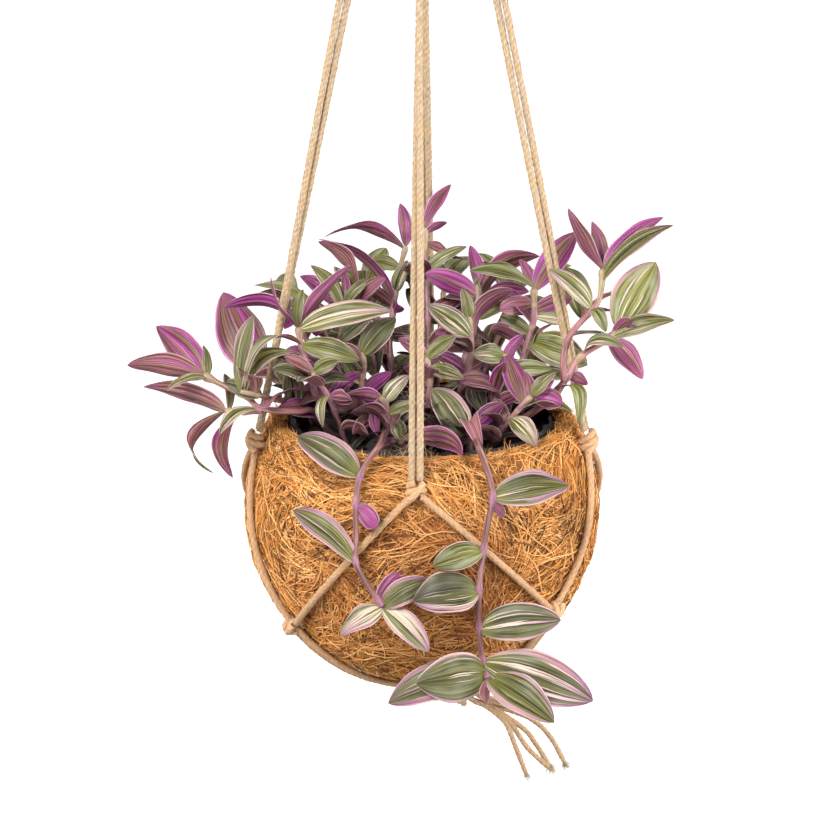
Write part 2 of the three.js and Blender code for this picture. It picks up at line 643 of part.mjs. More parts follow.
// A leaf of the view becomes a blade: its roll is what makes a blade of natural width look so wide.
function seenBlade(spec, lines) {
  let best = null;
  for (const line of lines) {
    for (let i = 0; i <= 60; i += 1) {
      const p = line.getPoint(0.08 + (0.92 * i) / 60);
      const away = Math.hypot(...onView(p, spec.x, spec.y));
      if (best === null || away < best.away) best = { away, p };
    }
  }
  const near = fromCentre(best.p).dot(NEAR);
  const tip = at(spec.tx, spec.ty, near + spec.out);
  const long = tip.distanceTo(best.p);
  const seenWide = spec.wide * MM_PER_PIXEL;
  const width = Math.min(25, Math.max(seenWide * 1.06, Math.min(0.34 * long, 14)));
  const chord = tip.clone().sub(best.p).normalize();
  const facing = NEAR.clone().addScaledVector(chord, -NEAR.dot(chord)).normalize();
  const across = new THREE.Vector3().crossVectors(chord, facing);
  const share = Math.min(1, seenWide / width) * (spec.face === 't' ? 1 : -1);
  const rest = Math.sqrt(Math.max(0, 1 - share * share));
  const tops = [1, -1].map((k) => facing.clone().multiplyScalar(share).addScaledVector(across, k * rest));
  const top = tops[0].z >= tops[1].z ? tops[0] : tops[1];
  const foot = best.p.clone().addScaledVector(chord, -SUNK);
  return { foot, tip, top, width, bow: spec.bow, fold: 0.2 };
}

function onView(p, x, y) {
  const v = fromCentre(p);
  const shrink = 1 - v.dot(NEAR) / VIEW_DISTANCE;
  return [v.dot(RIGHT) / MM_PER_PIXEL / shrink + BALL_X - x, BALL_Y - v.dot(UP) / MM_PER_PIXEL / shrink - y];
}

function grownBlade(spec, lines) {
  const [c, s] = [Math.cos(spec.turn), Math.sin(spec.turn)];
  const flat = Math.cos(spec.rise);
  const chord = new THREE.Vector3(c * flat, s * flat, Math.sin(spec.rise));
  const foot = lines[0].getPoint(spec.along).addScaledVector(chord, -SUNK);
  const tip = foot.clone().addScaledVector(chord, spec.length);
  const top = new THREE.Vector3(0, 0, 1).addScaledVector(chord, -chord.z).normalize();
  return { foot, tip, top, width: spec.width, bow: 0.14, fold: 0.22 };
}

// Where a blade would touch another piece, its tip comes forward or back, up or down, until it is free.
const SHIFTS = [
  [0, 0], [5, 0], [-5, 0], [10, 0], [-10, 0], [15, 0], [-15, 0], [20, 0], [-20, 0], [26, 0],
  [-26, 0], [34, 0], [0, 6], [8, 6], [-8, 6], [0, -6], [8, -6], [-8, -6], [16, 6], [-16, 6],
  [16, -6], [-16, -6], [0, 14], [14, 14], [-14, 14], [0, -14], [14, -14], [-14, -14],
];
const SHRINKS = [1, 0.84, 0.68];

function shifted(b, shift, shrink) {
  const tip = b.tip.clone().addScaledVector(NEAR, shift[0]).addScaledVector(UP, shift[1]);
  tip.sub(b.foot).multiplyScalar(0.5 + 0.5 * shrink).add(b.foot);
  const chord = tip.clone().sub(b.foot).normalize();
  const top = b.top.clone().addScaledVector(chord, -b.top.dot(chord)).normalize();
  return { ...b, tip, top, width: b.width * shrink };
}

function boxesMeet(a, b) {
  for (let i = 0; i < 3; i += 1) if (a.min[i] > b.max[i] || b.min[i] > a.max[i]) return false;
  return true;
}

function keep(solid, owner) {
  return { solid, owner, box: solid.boundingBox() };
}

function meets(solid, others, owner) {
  const box = solid.boundingBox();
  for (const o of others) {
    if (o.owner !== owner && boxesMeet(box, o.box)) {
      if (solid.intersect(o.solid).volume() > 1e-4) return true;
    }
  }
  return false;
}

// A stem goes straight down into the soil, and its hole is a little wider and deeper.
function rooted(points) {
  const deep = points[0].clone();
  deep.z -= BURIED;
  const free = points[0].clone();
  free.z += 4;
  return through([deep, points[0], free, ...points.slice(1)]);
}

function stemHole(plant) {
  const foot = plant.lines[0].points[0].clone();
  foot.z -= TOUCH;
  const line = new THREE.LineCurve3(foot, foot.clone().setZ(foot.z + BURIED + 4));
  return tube(line, plant.radius + HOLE_SLACK, 5, 1);
}

const plants = SHOOTS.map(([name, radius, paths, leaves]) => {
  const lines = paths.map((pts, i) => (i ? through(pts) : rooted(pts)));
  return { name, radius, lines, leaves, blades: (l) => seenBlade(l, lines) };
});
for (let k = 0; k < HIDDEN_STEMS; k += 1) {
  const h = hiddenStem(k);
  const lines = [rooted(h.lines[0])];
  plants.push({ ...h, lines, blades: (l) => grownBlade(l, lines) });
}

const fixed = [
  keep(coirShell, 'pot'), keep(liner, 'pot'), keep(soilBody, 'pot'), keep(hangLoop, 'loop'),
  keep(hangerNet, 'net'), ...upperStrands.map((s) => keep(s.solid, s.name)),
  ...tails.map((s) => keep(s.solid, s.name)),
];
const stems = [];
for (const plant of plants) {
  const step = plant.radius >= 2 ? 15 : 20;
  const solids = plant.lines.map((line, i) => {
    const steps = Math.max(4, Math.round(line.getLength() / step));
    return tube(line, plant.radius * (i ? 0.88 : 1), 5, steps);
  });
  soilBody = soilBody.subtract(stemHole(plant));
  plant.stem = wasm.Manifold.union(solids);
  stems.push(keep(plant.stem, plant.name));
}

// The first shift of a blade that leaves it clear of the other pieces and of the other blades of its
// own stem, apart from their feet. A blade that finds no room is left out.
function roomFor(first, others, own, owner) {
  for (const shrink of SHRINKS) {
    for (const shift of SHIFTS) {
      const b = shifted(first, shift, shrink);
      const air = blade(b, BLADE + 2 * CLEAR, 0, CLEAR);
      const outer = blade(b, BLADE + 0.4, 0.36, 0.2);
      if (!meets(air, others, owner) && !meets(outer, own, null)) return { b, outer };
    }
  }
  return null;
}

const placed = [];
for (const plant of plants) {
  const blades = [];
  const own = [keep(plant.stem, 'own')];
  for (const spec of plant.leaves) {
    const room = roomFor(plant.blades(spec), [...fixed, ...stems, ...placed], own, plant.name);
    if (room) {
      own.push(keep(room.outer, 'own'));
      blades.push(blade(room.b, BLADE));
    }
  }
  plant.solid = wasm.Manifold.union([plant.stem, ...blades]);
  for (const s of blades) placed.push(keep(s, plant.name));
}

// ---- Nodes ----
const group = new THREE.Group();
group.name = 'hanging_tradescantia';
const add = (solid, name, color, rough) => group.add(meshOf(solid, name, color, rough));
add(coirShell, 'coir_shell', 0xc98a45, 0.95);
add(liner, 'liner', 0x1c1c1e, 0.4);
add(soilBody, 'soil', 0x24170f, 0.95);
add(hangLoop, 'hang_loop', 0xd8b98a, 0.9);
for (const s of upperStrands) add(s.solid, s.name, 0xd8b98a, 0.9);
add(hangerNet, 'hanger_net', 0xcfa873, 0.9);
for (const t of tails) add(t.solid, t.name, 0xd8b98a, 0.9);
for (const plant of plants) add(plant.solid, plant.name, 0x7f8c62, 0.55);

export default group;
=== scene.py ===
# %% [markdown]
# # A potted tradescantia in its jute hanger
# The object is a trailing houseplant in a ball of pressed coconut fibre. A knotted jute net carries
# the ball, and its strands rise to one loop. This lesson builds the look of each piece over the
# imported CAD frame: first the camera and the cords, then the pot, then the leaves.

# %% Load the frame
import math
from functools import partial

import bpy
import numpy as np
from mathutils import Matrix


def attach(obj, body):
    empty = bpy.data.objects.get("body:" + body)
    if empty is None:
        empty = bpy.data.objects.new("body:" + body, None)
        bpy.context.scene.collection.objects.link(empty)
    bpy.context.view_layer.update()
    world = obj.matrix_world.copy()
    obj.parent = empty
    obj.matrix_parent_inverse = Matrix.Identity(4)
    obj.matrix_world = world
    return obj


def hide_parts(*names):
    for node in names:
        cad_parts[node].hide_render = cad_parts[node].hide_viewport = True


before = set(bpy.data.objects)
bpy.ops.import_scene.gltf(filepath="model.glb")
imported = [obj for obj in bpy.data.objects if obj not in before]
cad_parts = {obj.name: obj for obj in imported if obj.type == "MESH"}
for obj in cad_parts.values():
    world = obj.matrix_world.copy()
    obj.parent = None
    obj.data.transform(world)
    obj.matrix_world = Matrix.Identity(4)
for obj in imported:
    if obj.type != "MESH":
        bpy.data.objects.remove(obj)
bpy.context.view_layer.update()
print("CAD nodes:", len(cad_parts))

# %% [markdown]
# ## Sizes and the view
# All lengths in this script are millimetres, as in the CAD source, and become metres when a mesh is
# made. The view is the photograph's: 17 degrees above the horizon, from far enough that lines stay
# nearly parallel. A place in it is a pixel from the left and the top.

# %% Sizes and the view
POT_RADIUS = 90
RIM_HEIGHT = 46.5  # edge of the opening, above the ball's centre
COIR_THICKNESS = 8.6
SOIL_HEIGHT = 38  # above the ball's centre
GATHER_RISE = 440  # gathering knot, above the ball's centre
LOOP_HEIGHT = 38  # hook to gathering knot
STRAND_RADIUS = 1.85
PAIR_HALF = 2.08  # half the distance between the two strands of a pair
PAIR_TOP = 4.95  # middle of a pair, from the hanger's axis, at the gathering knot
TAIL_RADIUS = 1.45
BURIED = 11  # stem inside the soil
SUNK = 0.3  # leaf's foot inside its stem
POT_Z = -(GATHER_RISE + LOOP_HEIGHT)
WALL_R = POT_RADIUS + 1 + STRAND_RADIUS  # middle of a strand that lies on the coir
CENTRE = np.array([0.0, 0.0, POT_Z])
VIEW_LIFT = math.radians(17)
VIEW_DISTANCE = 2400
PHOTO_SIZE = 840
MM_PER_PIXEL = 0.514  # at the ball's centre
BALL_SHARE, FALL_SHARE = 0.965, 0.962  # of that, at the ball's face and at a stem that hangs before it
BALL_X, BALL_Y = 422, 505
RIGHT = np.array([1.0, 0.0, 0.0])
UP = np.array([0.0, math.sin(VIEW_LIFT), math.cos(VIEW_LIFT)])
NEAR = np.array([0.0, -math.cos(VIEW_LIFT), math.sin(VIEW_LIFT)])


def at(x, y, near):
    """The point on the sight line through pixel x, y that stands near mm before the ball's centre."""
    shrink = 1 - near / VIEW_DISTANCE
    return (CENTRE + RIGHT * (x - BALL_X) * MM_PER_PIXEL * shrink
            + UP * (BALL_Y - y) * MM_PER_PIXEL * shrink + NEAR * near)


def hug(x, y, lift):
    """The same pixel, lift mm outside the ball's face."""
    a = (x - BALL_X) * MM_PER_PIXEL * BALL_SHARE
    b = (BALL_Y - y) * MM_PER_PIXEL * BALL_SHARE
    return at(x, y, math.sqrt(max(0, (POT_RADIUS + lift) ** 2 - a * a - b * b)))


def fall(x, y, front):
    """The same pixel, in the upright plane that lies front mm before the ball's centre."""
    b = (BALL_Y - y) * MM_PER_PIXEL * FALL_SHARE
    return at(x, y, (front + b * math.sin(VIEW_LIFT)) / math.cos(VIEW_LIFT))


def soil(x, y):
    """A place in the soil's top, from the pot's axis."""
    return np.array([x, y, POT_Z + SOIL_HEIGHT], float)


def chance(k):
    """A repeatable number from 0 to 1."""
    v = math.sin(k * 12.9898 + 4.1414) * 43758.5453
    return v - math.floor(v)


def unit(v):
    """v with length 1, along the last axis."""
    return v / np.maximum(np.linalg.norm(v, axis=-1, keepdims=True), 1e-9)


def along(points, t):
    """Catmull-Rom curve through points: between two of them it is the cubic whose end slopes are half
    the step from the point before to the point after."""
    p = np.array(points, float)
    t = np.atleast_1d(t)
    last = len(p) - 1
    i = np.minimum((last * t).astype(int), last - 1)
    w = (last * t - i)[:, None]
    ends = np.vstack([2 * p[0] - p[1], p, 2 * p[-1] - p[-2]])
    a, b, c, d = ends[i], ends[i + 1], ends[i + 2], ends[i + 3]
    s, e = 0.5 * (c - a), 0.5 * (d - b)
    return b + s * w + (3 * c - 3 * b - 2 * s - e) * w**2 + (2 * b - 2 * c + s + e) * w**3


def evenly(points, step):
    """The same curve, as points one step of arc apart."""
    fine = along(points, np.linspace(0, 1, 60 * len(points)))
    run = np.concatenate([[0], np.cumsum(np.linalg.norm(np.diff(fine, axis=0), axis=1))])
    count = max(3, int(run[-1] / step) + 1)
    want = np.linspace(0, run[-1], count)
    return np.stack([np.interp(want, run, fine[:, k]) for k in range(3)], 1)


print("the ball's centre lies", -POT_Z, "mm below the hook")

# %% [markdown]
# ## The camera
# The photograph hides how far the hanger reaches above its top edge, so the view stays where the
# photograph has it, and the loop is out of sight above.

# %% The camera
cam_data = bpy.data.cameras.new("camera")
cam = bpy.data.objects.new("camera", cam_data)
bpy.context.scene.collection.objects.link(cam)
bpy.context.scene.camera = cam
eye = CENTRE + NEAR * VIEW_DISTANCE
aim = at(PHOTO_SIZE / 2, PHOTO_SIZE / 2, 0)
back = unit(eye - aim)
side = unit(np.cross([0, 0, 1], back))
up = np.cross(back, side)
pose = np.eye(4)
pose[:3, 0], pose[:3, 1], pose[:3, 2], pose[:3, 3] = side, up, back, eye / 1000
cam.matrix_world = Matrix(pose.tolist())
cam_data.sensor_width = 36
cam_data.lens = 36 * VIEW_DISTANCE / (PHOTO_SIZE * MM_PER_PIXEL)
cam_data.clip_start, cam_data.clip_end = 0.1, 20
print("camera lens", round(cam_data.lens, 1), "mm")

# %% [markdown]
# ## Surfaces from numbers
# Every new surface is a grid: rows along a path and columns round or across it, computed as whole
# arrays. One function turns such grids into a mesh with its own map coordinates, so that a pattern
# can follow the cord or the leaf.


# %% Surfaces from numbers
def grid_quads(rows, cols, wrap):
    """Corner numbers of the faces of a rows by cols grid, closed round its columns if wrap."""
    last = cols if wrap else cols - 1
    i, j = np.meshgrid(np.arange(rows - 1), np.arange(last), indexing="ij")
    k = (j + 1) % cols
    corners = [i * cols + j, i * cols + k, (i + 1) * cols + k, (i + 1) * cols + j]
    return np.stack(corners, -1).reshape(-1, 4)


def grid_map(rows, cols, wrap, u, v):
    """Map coordinates at each face corner. u has a value for each row; v one for each column, and
    one more where the grid is closed."""
    last = cols if wrap else cols - 1
    i, j = np.meshgrid(np.arange(rows - 1), np.arange(last), indexing="ij")
    u = np.broadcast_to(u, (rows,))
    corners = [(i, j), (i, j + 1), (i + 1, j + 1), (i + 1, j)]
    return np.stack([np.stack([u[a], v[b]], -1) for a, b in corners], 2).reshape(-1, 2)


class Heap:
    """Grids gathered for one mesh."""

    def __init__(self):
        self.verts, self.quads, self.maps, self.mats, self.tones, self.count = [], [], [], [], [], 0

    def grid(self, points, u, v, wrap=False, mat=0, tone=0.0):
        """points is rows by cols by 3. mat is one number, or one for each column of faces. tone is one
        number, one set of four, or four at each point."""
        rows, cols = points.shape[:2]
        self.quads.append(grid_quads(rows, cols, wrap) + self.count)
        self.maps.append(grid_map(rows, cols, wrap, u, v))
        last = cols if wrap else cols - 1
        self.mats.append(np.broadcast_to(mat, (rows - 1, last)).reshape(-1))
        self.tones.append(np.broadcast_to(tone, (rows, cols, 4)).reshape(-1, 4))
        self.verts.append(points.reshape(-1, 3))
        self.count += rows * cols

    def mesh(self, name, materials):
        """The object, in metres, riding on the body."""
        verts = np.concatenate(self.verts) / 1000
        quads = np.concatenate(self.quads)
        mesh = bpy.data.meshes.new(name)
        mesh.vertices.add(len(verts))
        mesh.vertices.foreach_set("co", verts.ravel().astype(np.float32))
        mesh.loops.add(quads.size)
        mesh.loops.foreach_set("vertex_index", quads.ravel().astype(np.int32))
        mesh.polygons.add(len(quads))
        mesh.polygons.foreach_set("loop_start", np.arange(0, quads.size, 4, dtype=np.int32))
        mesh.polygons.foreach_set("material_index", np.concatenate(self.mats).astype(np.int32))
        mesh.polygons.foreach_set("use_smooth", np.full(len(quads), True))
        layer = mesh.uv_layers.new(name="map")
        layer.data.foreach_set("uv", np.concatenate(self.maps).ravel().astype(np.float32))
        tone = mesh.attributes.new("tone", "FLOAT_COLOR", "POINT")
        tone.data.foreach_set("color", np.concatenate(self.tones).ravel().astype(np.float32))
        mesh.update(calc_edges=True)
        mesh.validate()
        obj = bpy.data.objects.new(name, mesh)
        for material in materials:
            mesh.materials.append(material)
        bpy.context.scene.collection.objects.link(obj)
        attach(obj, "root")
        return obj


def frames(path):
    """Two cross directions at each point of a path, carried along without twist."""
    tangent = unit(np.gradient(path, axis=0))
    first = np.cross(tangent[0], [0.0, 0.0, 1.0])
    if np.linalg.norm(first) < 0.2:
        first = np.cross(tangent[0], [1.0, 0.0, 0.0])
    sides = [unit(first)]
    for t in tangent[1:]:
        s = sides[-1] - t * np.dot(sides[-1], t)
        sides.append(s / np.linalg.norm(s))
    sides = np.array(sides)
    return sides, np.cross(tangent, sides)


def tube(path, radius, cols):
    """Point = path + radius (cos a * side + sin a * other), radius given per row, or per row and
    column."""
    s, o = frames(path)
    a = np.linspace(0, 2 * np.pi, cols, endpoint=False)[None, :]
    radius = np.asarray(radius, float)
    radius = radius[:, None] if radius.ndim == 1 else radius
    ring = radius[..., None] * (np.cos(a)[..., None] * s[:, None] + np.sin(a)[..., None] * o[:, None])
    return path[:, None] + ring


# %% [markdown]
# ## Materials by nodes
# A finish is a few procedural nodes. Colours are given as the screen shows them and turned linear by
# one function, and one more adds a node of any kind. The table gives each kind that this lesson uses
# a short name and the settings that it always has here.

# %% Materials by nodes
NODES = {
    "sum": ("Math", {"operation": "ADD"}), "difference": ("Math", {"operation": "SUBTRACT"}),
    "product": ("Math", {"operation": "MULTIPLY"}), "scaled": ("Math", {"operation": "MULTIPLY_ADD"}),
    "power": ("Math", {"operation": "POWER"}), "larger": ("Math", {"operation": "MAXIMUM"}),
    "size": ("Math", {"operation": "ABSOLUTE"}), "sine": ("Math", {"operation": "SINE"}),
    "blend": ("Mix", {"data_type": "RGBA"}),
    "tint": ("Mix", {"data_type": "RGBA", "blend_type": "MULTIPLY"}),
    "rise": ("MapRange", {"interpolation_type": "SMOOTHSTEP"}),
    "noise": ("TexNoise", {}), "stretch": ("Mapping", {}), "vector": ("CombineXYZ", {}),
    "split": ("SeparateXYZ", {}), "channels": ("SeparateColor", {}), "place": ("TexCoord", {}),
    "map": ("UVMap", {"uv_map": "map"}), "tone": ("Attribute", {"attribute_name": "tone"}),
    "bump": ("Bump", {}), "surface": ("BsdfPrincipled", {}), "output": ("OutputMaterial", {}),
}


def colour(code):
    """A hex screen colour as linear red, green, blue and alpha."""
    c = np.array([int(code[k:k + 2], 16) / 255 for k in (1, 3, 5)])
    c = np.where(c <= 0.04045, c / 12.92, ((c + 0.055) / 1.055) ** 2.4)
    return (*c.tolist(), 1.0)


def node(tree, kind, *values, **named):
    """Adds a node. Values go to its open inputs in order, and a named one to the input of that name. A
    value is a number, a hex colour, a socket or a node, which stands for its first open output."""
    name, settings = NODES[kind]
    n = tree.nodes.new("ShaderNode" + name)
    for key, setting in settings.items():
        setattr(n, key, setting)
    sockets = [s for s in n.inputs if s.enabled][:len(values)]
    sockets += [n.inputs[key.replace("_", " ")] for key in named]
    for socket, value in zip(sockets, [*values, *named.values()], strict=True):
        if isinstance(value, str):
            value = colour(value)
        if isinstance(value, bpy.types.Node):
            value = next(s for s in value.outputs if s.enabled)
        if isinstance(value, bpy.types.NodeSocket):
            tree.links.new(value, socket)
        else:
            socket.default_value = value
    return n


def finish(name):
    """An empty material, and the function that adds a node to it."""
    material = bpy.data.materials.new(name)
    material.use_nodes = True
    material.node_tree.nodes.clear()
    return material, partial(node, material.node_tree)


def dressed(add, base, rough, height, rise, strength, **more):
    """Ends a finish: its colour, its roughness, and a relief that height raises by rise metres."""
    relief = add("bump", Height=height, Distance=rise, Strength=strength)
    add("output", add("surface", Base_Color=base, Roughness=rough, Normal=relief, **more))


print("kinds of node:", len(NODES))

# %% [markdown]
# ## Jute
# Jute cord is three yarns twisted together. The yarns are real ridges of the surface, and finer
# fibre lines, which follow the yarn, come from stretched noise. Its grooves hold less light, so they
# are browner.


# %% Jute
def jute_finish():
    """Matt pale straw fibre with grooves browner with painted shade. The tone says how deep in a groove a
    point lies, how pale the cord is, and how much painted warm light bounced from the coir it takes. The
    map runs along the cord in mm and once round it, so a fibre line is about 3.3 mm long and 0.34 mm
    wide, coarser than real fibres, so that it shows."""
    material, add = finish("jute_three_ply_cord")
    groove, shade, warm = add("channels", add("tone")).outputs
    lines = add("noise", add("stretch", add("map"), Scale=(0.3, 34, 1)), 1.0, 4.0, 0.65)
    patch = add("noise", add("stretch", add("map"), Scale=(0.09, 1.5, 1)), 1.0, 2.0, 0.55)
    base = add("blend", add("rise", lines, 0.34, 0.66), "#9C7A5A", "#D8C7AB")
    base = add("blend", add("product", add("rise", patch, 0.45, 0.7), 0.5), base, "#CDA876")
    base = add("blend", add("product", groove, 0.6), base, "#8E6A42")
    base = add("blend", shade, base, "#F3E2C2")
    # Painted warm light bounced from the coir, on the net, the knots and the tails.
    base = add("tint", warm, base, "#FCC48C")
    dressed(add, base, 0.82, lines, 0.0005, 0.9)
    return material


JUTE = jute_finish()
PLIES, CORD_SIDES = 3, 24


def cord_surface(heap, path, radius, pitch, shade=0.0, warm=0.0, taper=None):
    """A twisted cord: its radius at angle a and length s is R (0.85 + 0.15 |cos(plies/2 (a - 2 pi
    s / pitch))|^0.7), so each yarn is a ridge that winds round once in a pitch."""
    run = np.concatenate([[0], np.cumsum(np.linalg.norm(np.diff(path, axis=0), axis=1))])
    a = np.linspace(0, 2 * np.pi, CORD_SIDES, endpoint=False)[None, :]
    wind = PLIES / 2 * (a - 2 * np.pi * run[:, None] / pitch)
    ridge = np.abs(np.cos(wind)) ** 0.7
    loose = 1 + 0.04 * np.sin(run * 0.53 + 3 * radius)[:, None] + 0.03 * np.sin(run * 1.7)[:, None]
    size = radius * (0.85 + 0.15 * ridge) * loose / 1.03
    if taper is not None:
        size = size * taper(run / run[-1])[:, None]
    tone = np.zeros((len(path), CORD_SIDES, 4))
    tone[..., 0] = 1 - ridge**0.7
    # shade is how pale the cord is; warm paints warm light bounced from the coir.
    tone[..., 1:3] = shade, warm
    around = np.linspace(0, 1, CORD_SIDES + 1)
    heap.grid(tube(path, size, CORD_SIDES), run, around, wrap=True, tone=tone)
    return run[-1]


def on_ball(az, lat, distance):
    """A place at azimuth az and latitude lat, in degrees, that far from the ball's centre."""
    a, l = math.radians(az), math.radians(lat)
    v = np.array([math.cos(l) * math.cos(a), math.cos(l) * math.sin(a), math.sin(l)])
    return v * distance + CENTRE


# Each leg's name and its rim knot's azimuth and latitude, then each net knot's azimuth and latitude
# and the two legs that it joins.
LEGS = [("front", -92, 21), ("right", -12, 24.8), ("back", 88, 24), ("left", 192, 24.8)]
NET_KNOTS = [(-39, -25, (0, 1)), (45, -29, (1, 2)), (135, -29, (2, 3)), (-146, -33, (3, 0))]
GATHER = np.array([0.0, 0.0, -LOOP_HEIGHT])
RIM_KNOTS = [on_ball(az, lat, WALL_R + 1.5) for _, az, lat in LEGS]
KNOTS = [on_ball(az, lat, WALL_R + 0.6) for az, lat, _ in NET_KNOTS]
BOTTOM = on_ball(-20, -78, POT_RADIUS + 7.796)


def leg_line(i, k):
    """Route of strand k of leg i: the middle of the pair, plus a push that starts in line with the
    hanger's axis and turns a quarter round the middle over the lower three fifths."""
    out = math.radians(LEGS[i][1])
    top = np.array([math.cos(out) * PAIR_TOP, math.sin(out) * PAIR_TOP, GATHER[2] - 4])
    s = np.arange(6) / 5
    a = out + (math.pi if k else 0) + math.pi / 2 * np.maximum(0, (s - 0.4) / 0.6)
    push = np.stack([np.cos(a), np.sin(a), 0 * a], 1) * PAIR_HALF
    return top + (RIM_KNOTS[i] - top) * s[:, None] + push


def outside_egg(path, centre, radii):
    """The stretch of a path that lies outside an egg with these radii."""
    return path[np.linalg.norm((path - centre) / radii, axis=1) > 1]


# %% [markdown]
# The eight strands from the loop to the rim are held taut by the pot. Each is one twisted cord.

# %% The taut strands
GATHER_EGG = np.array([10.6, 10.6, 9.2])
RIM_EGG = np.array([4.6, 4.6, 5.6])
PITCH = 9.4
for i, (leg, *_) in enumerate(LEGS):
    for k in (0, 1):
        route = evenly(leg_line(i, k), 0.8)
        route = outside_egg(outside_egg(route, GATHER, GATHER_EGG), RIM_KNOTS[i], RIM_EGG)
        heap = Heap()
        length = cord_surface(heap, route, STRAND_RADIUS, PITCH + 0.5 * k)
        cord = heap.mesh(f"strand_{leg}_{k + 1}", [JUTE])
        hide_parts(f"upper_strand_{leg}_{k + 1}")
print("taut strands", round(length), "mm long")

# %% [markdown]
# The eight tails are the same strands below the bottom knot, cut and a little unravelled at the end.

# %% The tails
TAILS = [
    [at(488, 700, -15), at(506, 704, -11), at(524, 703, -6), at(541, 706, 0)],
    [at(490, 700, -21), at(503, 704, -20), at(519, 706, -17), at(538, 709, -12)],
    [at(492, 701, -26), at(506, 704, -30), at(520, 705, -33), at(541, 708, -33)],
    [at(494, 699, -32), at(506, 701, -42), at(520, 703, -54), at(530, 706, -60)],
    [at(486, 706, -17), at(505, 722, -17), at(515, 745, -20), at(527, 776, -24)],
    [at(488, 706, -21), at(511, 724, -24), at(528, 748, -28), at(552, 770, -33)],
    [at(490, 706, -26), at(523, 728, -31), at(536, 744, -35), at(551, 768, -42)],
    [at(492, 705, -31), at(528, 717, -38), at(549, 735, -45), at(566, 765, -53)],
]
BOTTOM_EGG = np.array([9.0, 9.0, 8.0])
EXIT_WAY = 0.82 * RIGHT - 0.57 * UP
EXIT_UP = 0.57 * RIGHT + 0.82 * UP
TAIL_ENDS = []


def frayed(s):
    """Full width, then thinner over the last fourteenth of a tail."""
    return 1 - 0.55 * np.clip(s - 0.93, 0, 1) / 0.07


for i, points in enumerate(TAILS):
    aside = NEAR * (5.4 - 3.6 * (i % 4)) + EXIT_UP * (1.9 if i < 4 else -1.9)
    route = evenly([BOTTOM + EXIT_WAY * 3 + aside, BOTTOM + EXIT_WAY * 11 + aside, *points], 0.6)
    route = outside_egg(route, BOTTOM, BOTTOM_EGG)
    heap = Heap()
    length = cord_surface(heap, route, TAIL_RADIUS, 8.5, shade=0.1, warm=0.3, taper=frayed)
    cord = heap.mesh(f"tail_cord_{i + 1}", [JUTE])
    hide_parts(f"tail_{i + 1}")
    TAIL_ENDS.append((route[-1], unit(route[-1] - route[-4])))
print("tails placed:", len(TAILS))

# %% [markdown]
# ## The net
# Below the rim the strands part, meet a neighbour in a net knot, and run on in pairs to the bottom
# knot. They press on the coir, so they follow the shortest way over the ball.


# %% The net
def over_ball(p, q, aside):
    """Shortest way over the ball from p to q, then moved aside. Its distance from the ball's centre
    eases from that of each knot to that of a strand that lies on the coir."""
    a, b = p - CENTRE, q - CENTRE
    push = unit(np.cross(a, b)) * aside
    t = np.linspace(0, 1, 9)[:, None]
    ra, rb = np.linalg.norm(a), np.linalg.norm(b)
    v = unit(unit(a) * (1 - t) + unit(b) * t)
    ease = np.minimum(1, np.minimum(6 * t, 6 * (1 - t)))
    far = (ra + (rb - ra) * t) * (1 - ease) + WALL_R * ease
    return v * far + push + CENTRE


net = Heap()
for i, (_, _, legs) in enumerate(NET_KNOTS):
    ways = [over_ball(RIM_KNOTS[leg], KNOTS[i], 0) for leg in legs]
    ways += [over_ball(KNOTS[i], BOTTOM, k * PAIR_HALF) for k in (-1, 1)]
    for way in ways:
        # The net takes painted warm light bounced from the coir.
        cord_surface(net, evenly(way, 0.95), STRAND_RADIUS, 10, shade=0.2, warm=0.5)
net_piece = net.mesh("net_strands", [JUTE])
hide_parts("hanger_net")


def knot(heap, centre, axis, out, size, turns, phase):
    """A pulled-tight overhand knot: a cord winds turns times round the axis on an egg whose waist is
    size, leaning as it goes, and a last bight crosses over it."""
    a, o = unit(axis), unit(out - unit(axis) * np.dot(out, unit(axis)))
    b = np.cross(a, o)
    t = np.linspace(0, 1, int(30 * turns))[:, None]
    angle = phase + 2 * np.pi * turns * t
    height = (t - 0.5) * 1.9 * (size - STRAND_RADIUS) + 0.32 * size * np.cos(angle)
    waist = (size - STRAND_RADIUS) * (0.72 + 0.28 * np.sin(np.pi * t))
    path = centre + a * height + o * waist * np.cos(angle) + b * waist * np.sin(angle)
    cord_surface(heap, path, STRAND_RADIUS * 0.98, 11, shade=0.3, warm=0.5)
    s = np.linspace(-1, 1, 24)[:, None]
    lean = 0.7 if phase < 2 else -0.7
    bight = centre + a * s * size * 0.85 + b * s * size * lean + o * (size - 1.1) * np.cos(s * 1.25)
    cord_surface(heap, bight, STRAND_RADIUS * 0.95, 11, shade=0.35, warm=0.5)


knots = Heap()
for i, p in enumerate(RIM_KNOTS):
    knot(knots, p, np.array([0, 0, 1.0]), p - CENTRE, 5.6, 1.9, 0.6 + i)
for i, p in enumerate(KNOTS):
    knot(knots, p, np.cross(p - CENTRE, [0, 0, 1.0]) + np.array([0, 0, 2.0]), p - CENTRE, 5.4, 1.8, 2.1 + i)
knot(knots, BOTTOM, EXIT_WAY, NEAR, 9.0, 2.6, 1.0)
knot(knots, BOTTOM, EXIT_WAY, -NEAR, 8.6, 2.2, 3.0)
knot_piece = knots.mesh("knots", [JUTE])
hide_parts("hanger_net")
print("net and knots:", net.count + knots.count, "points")
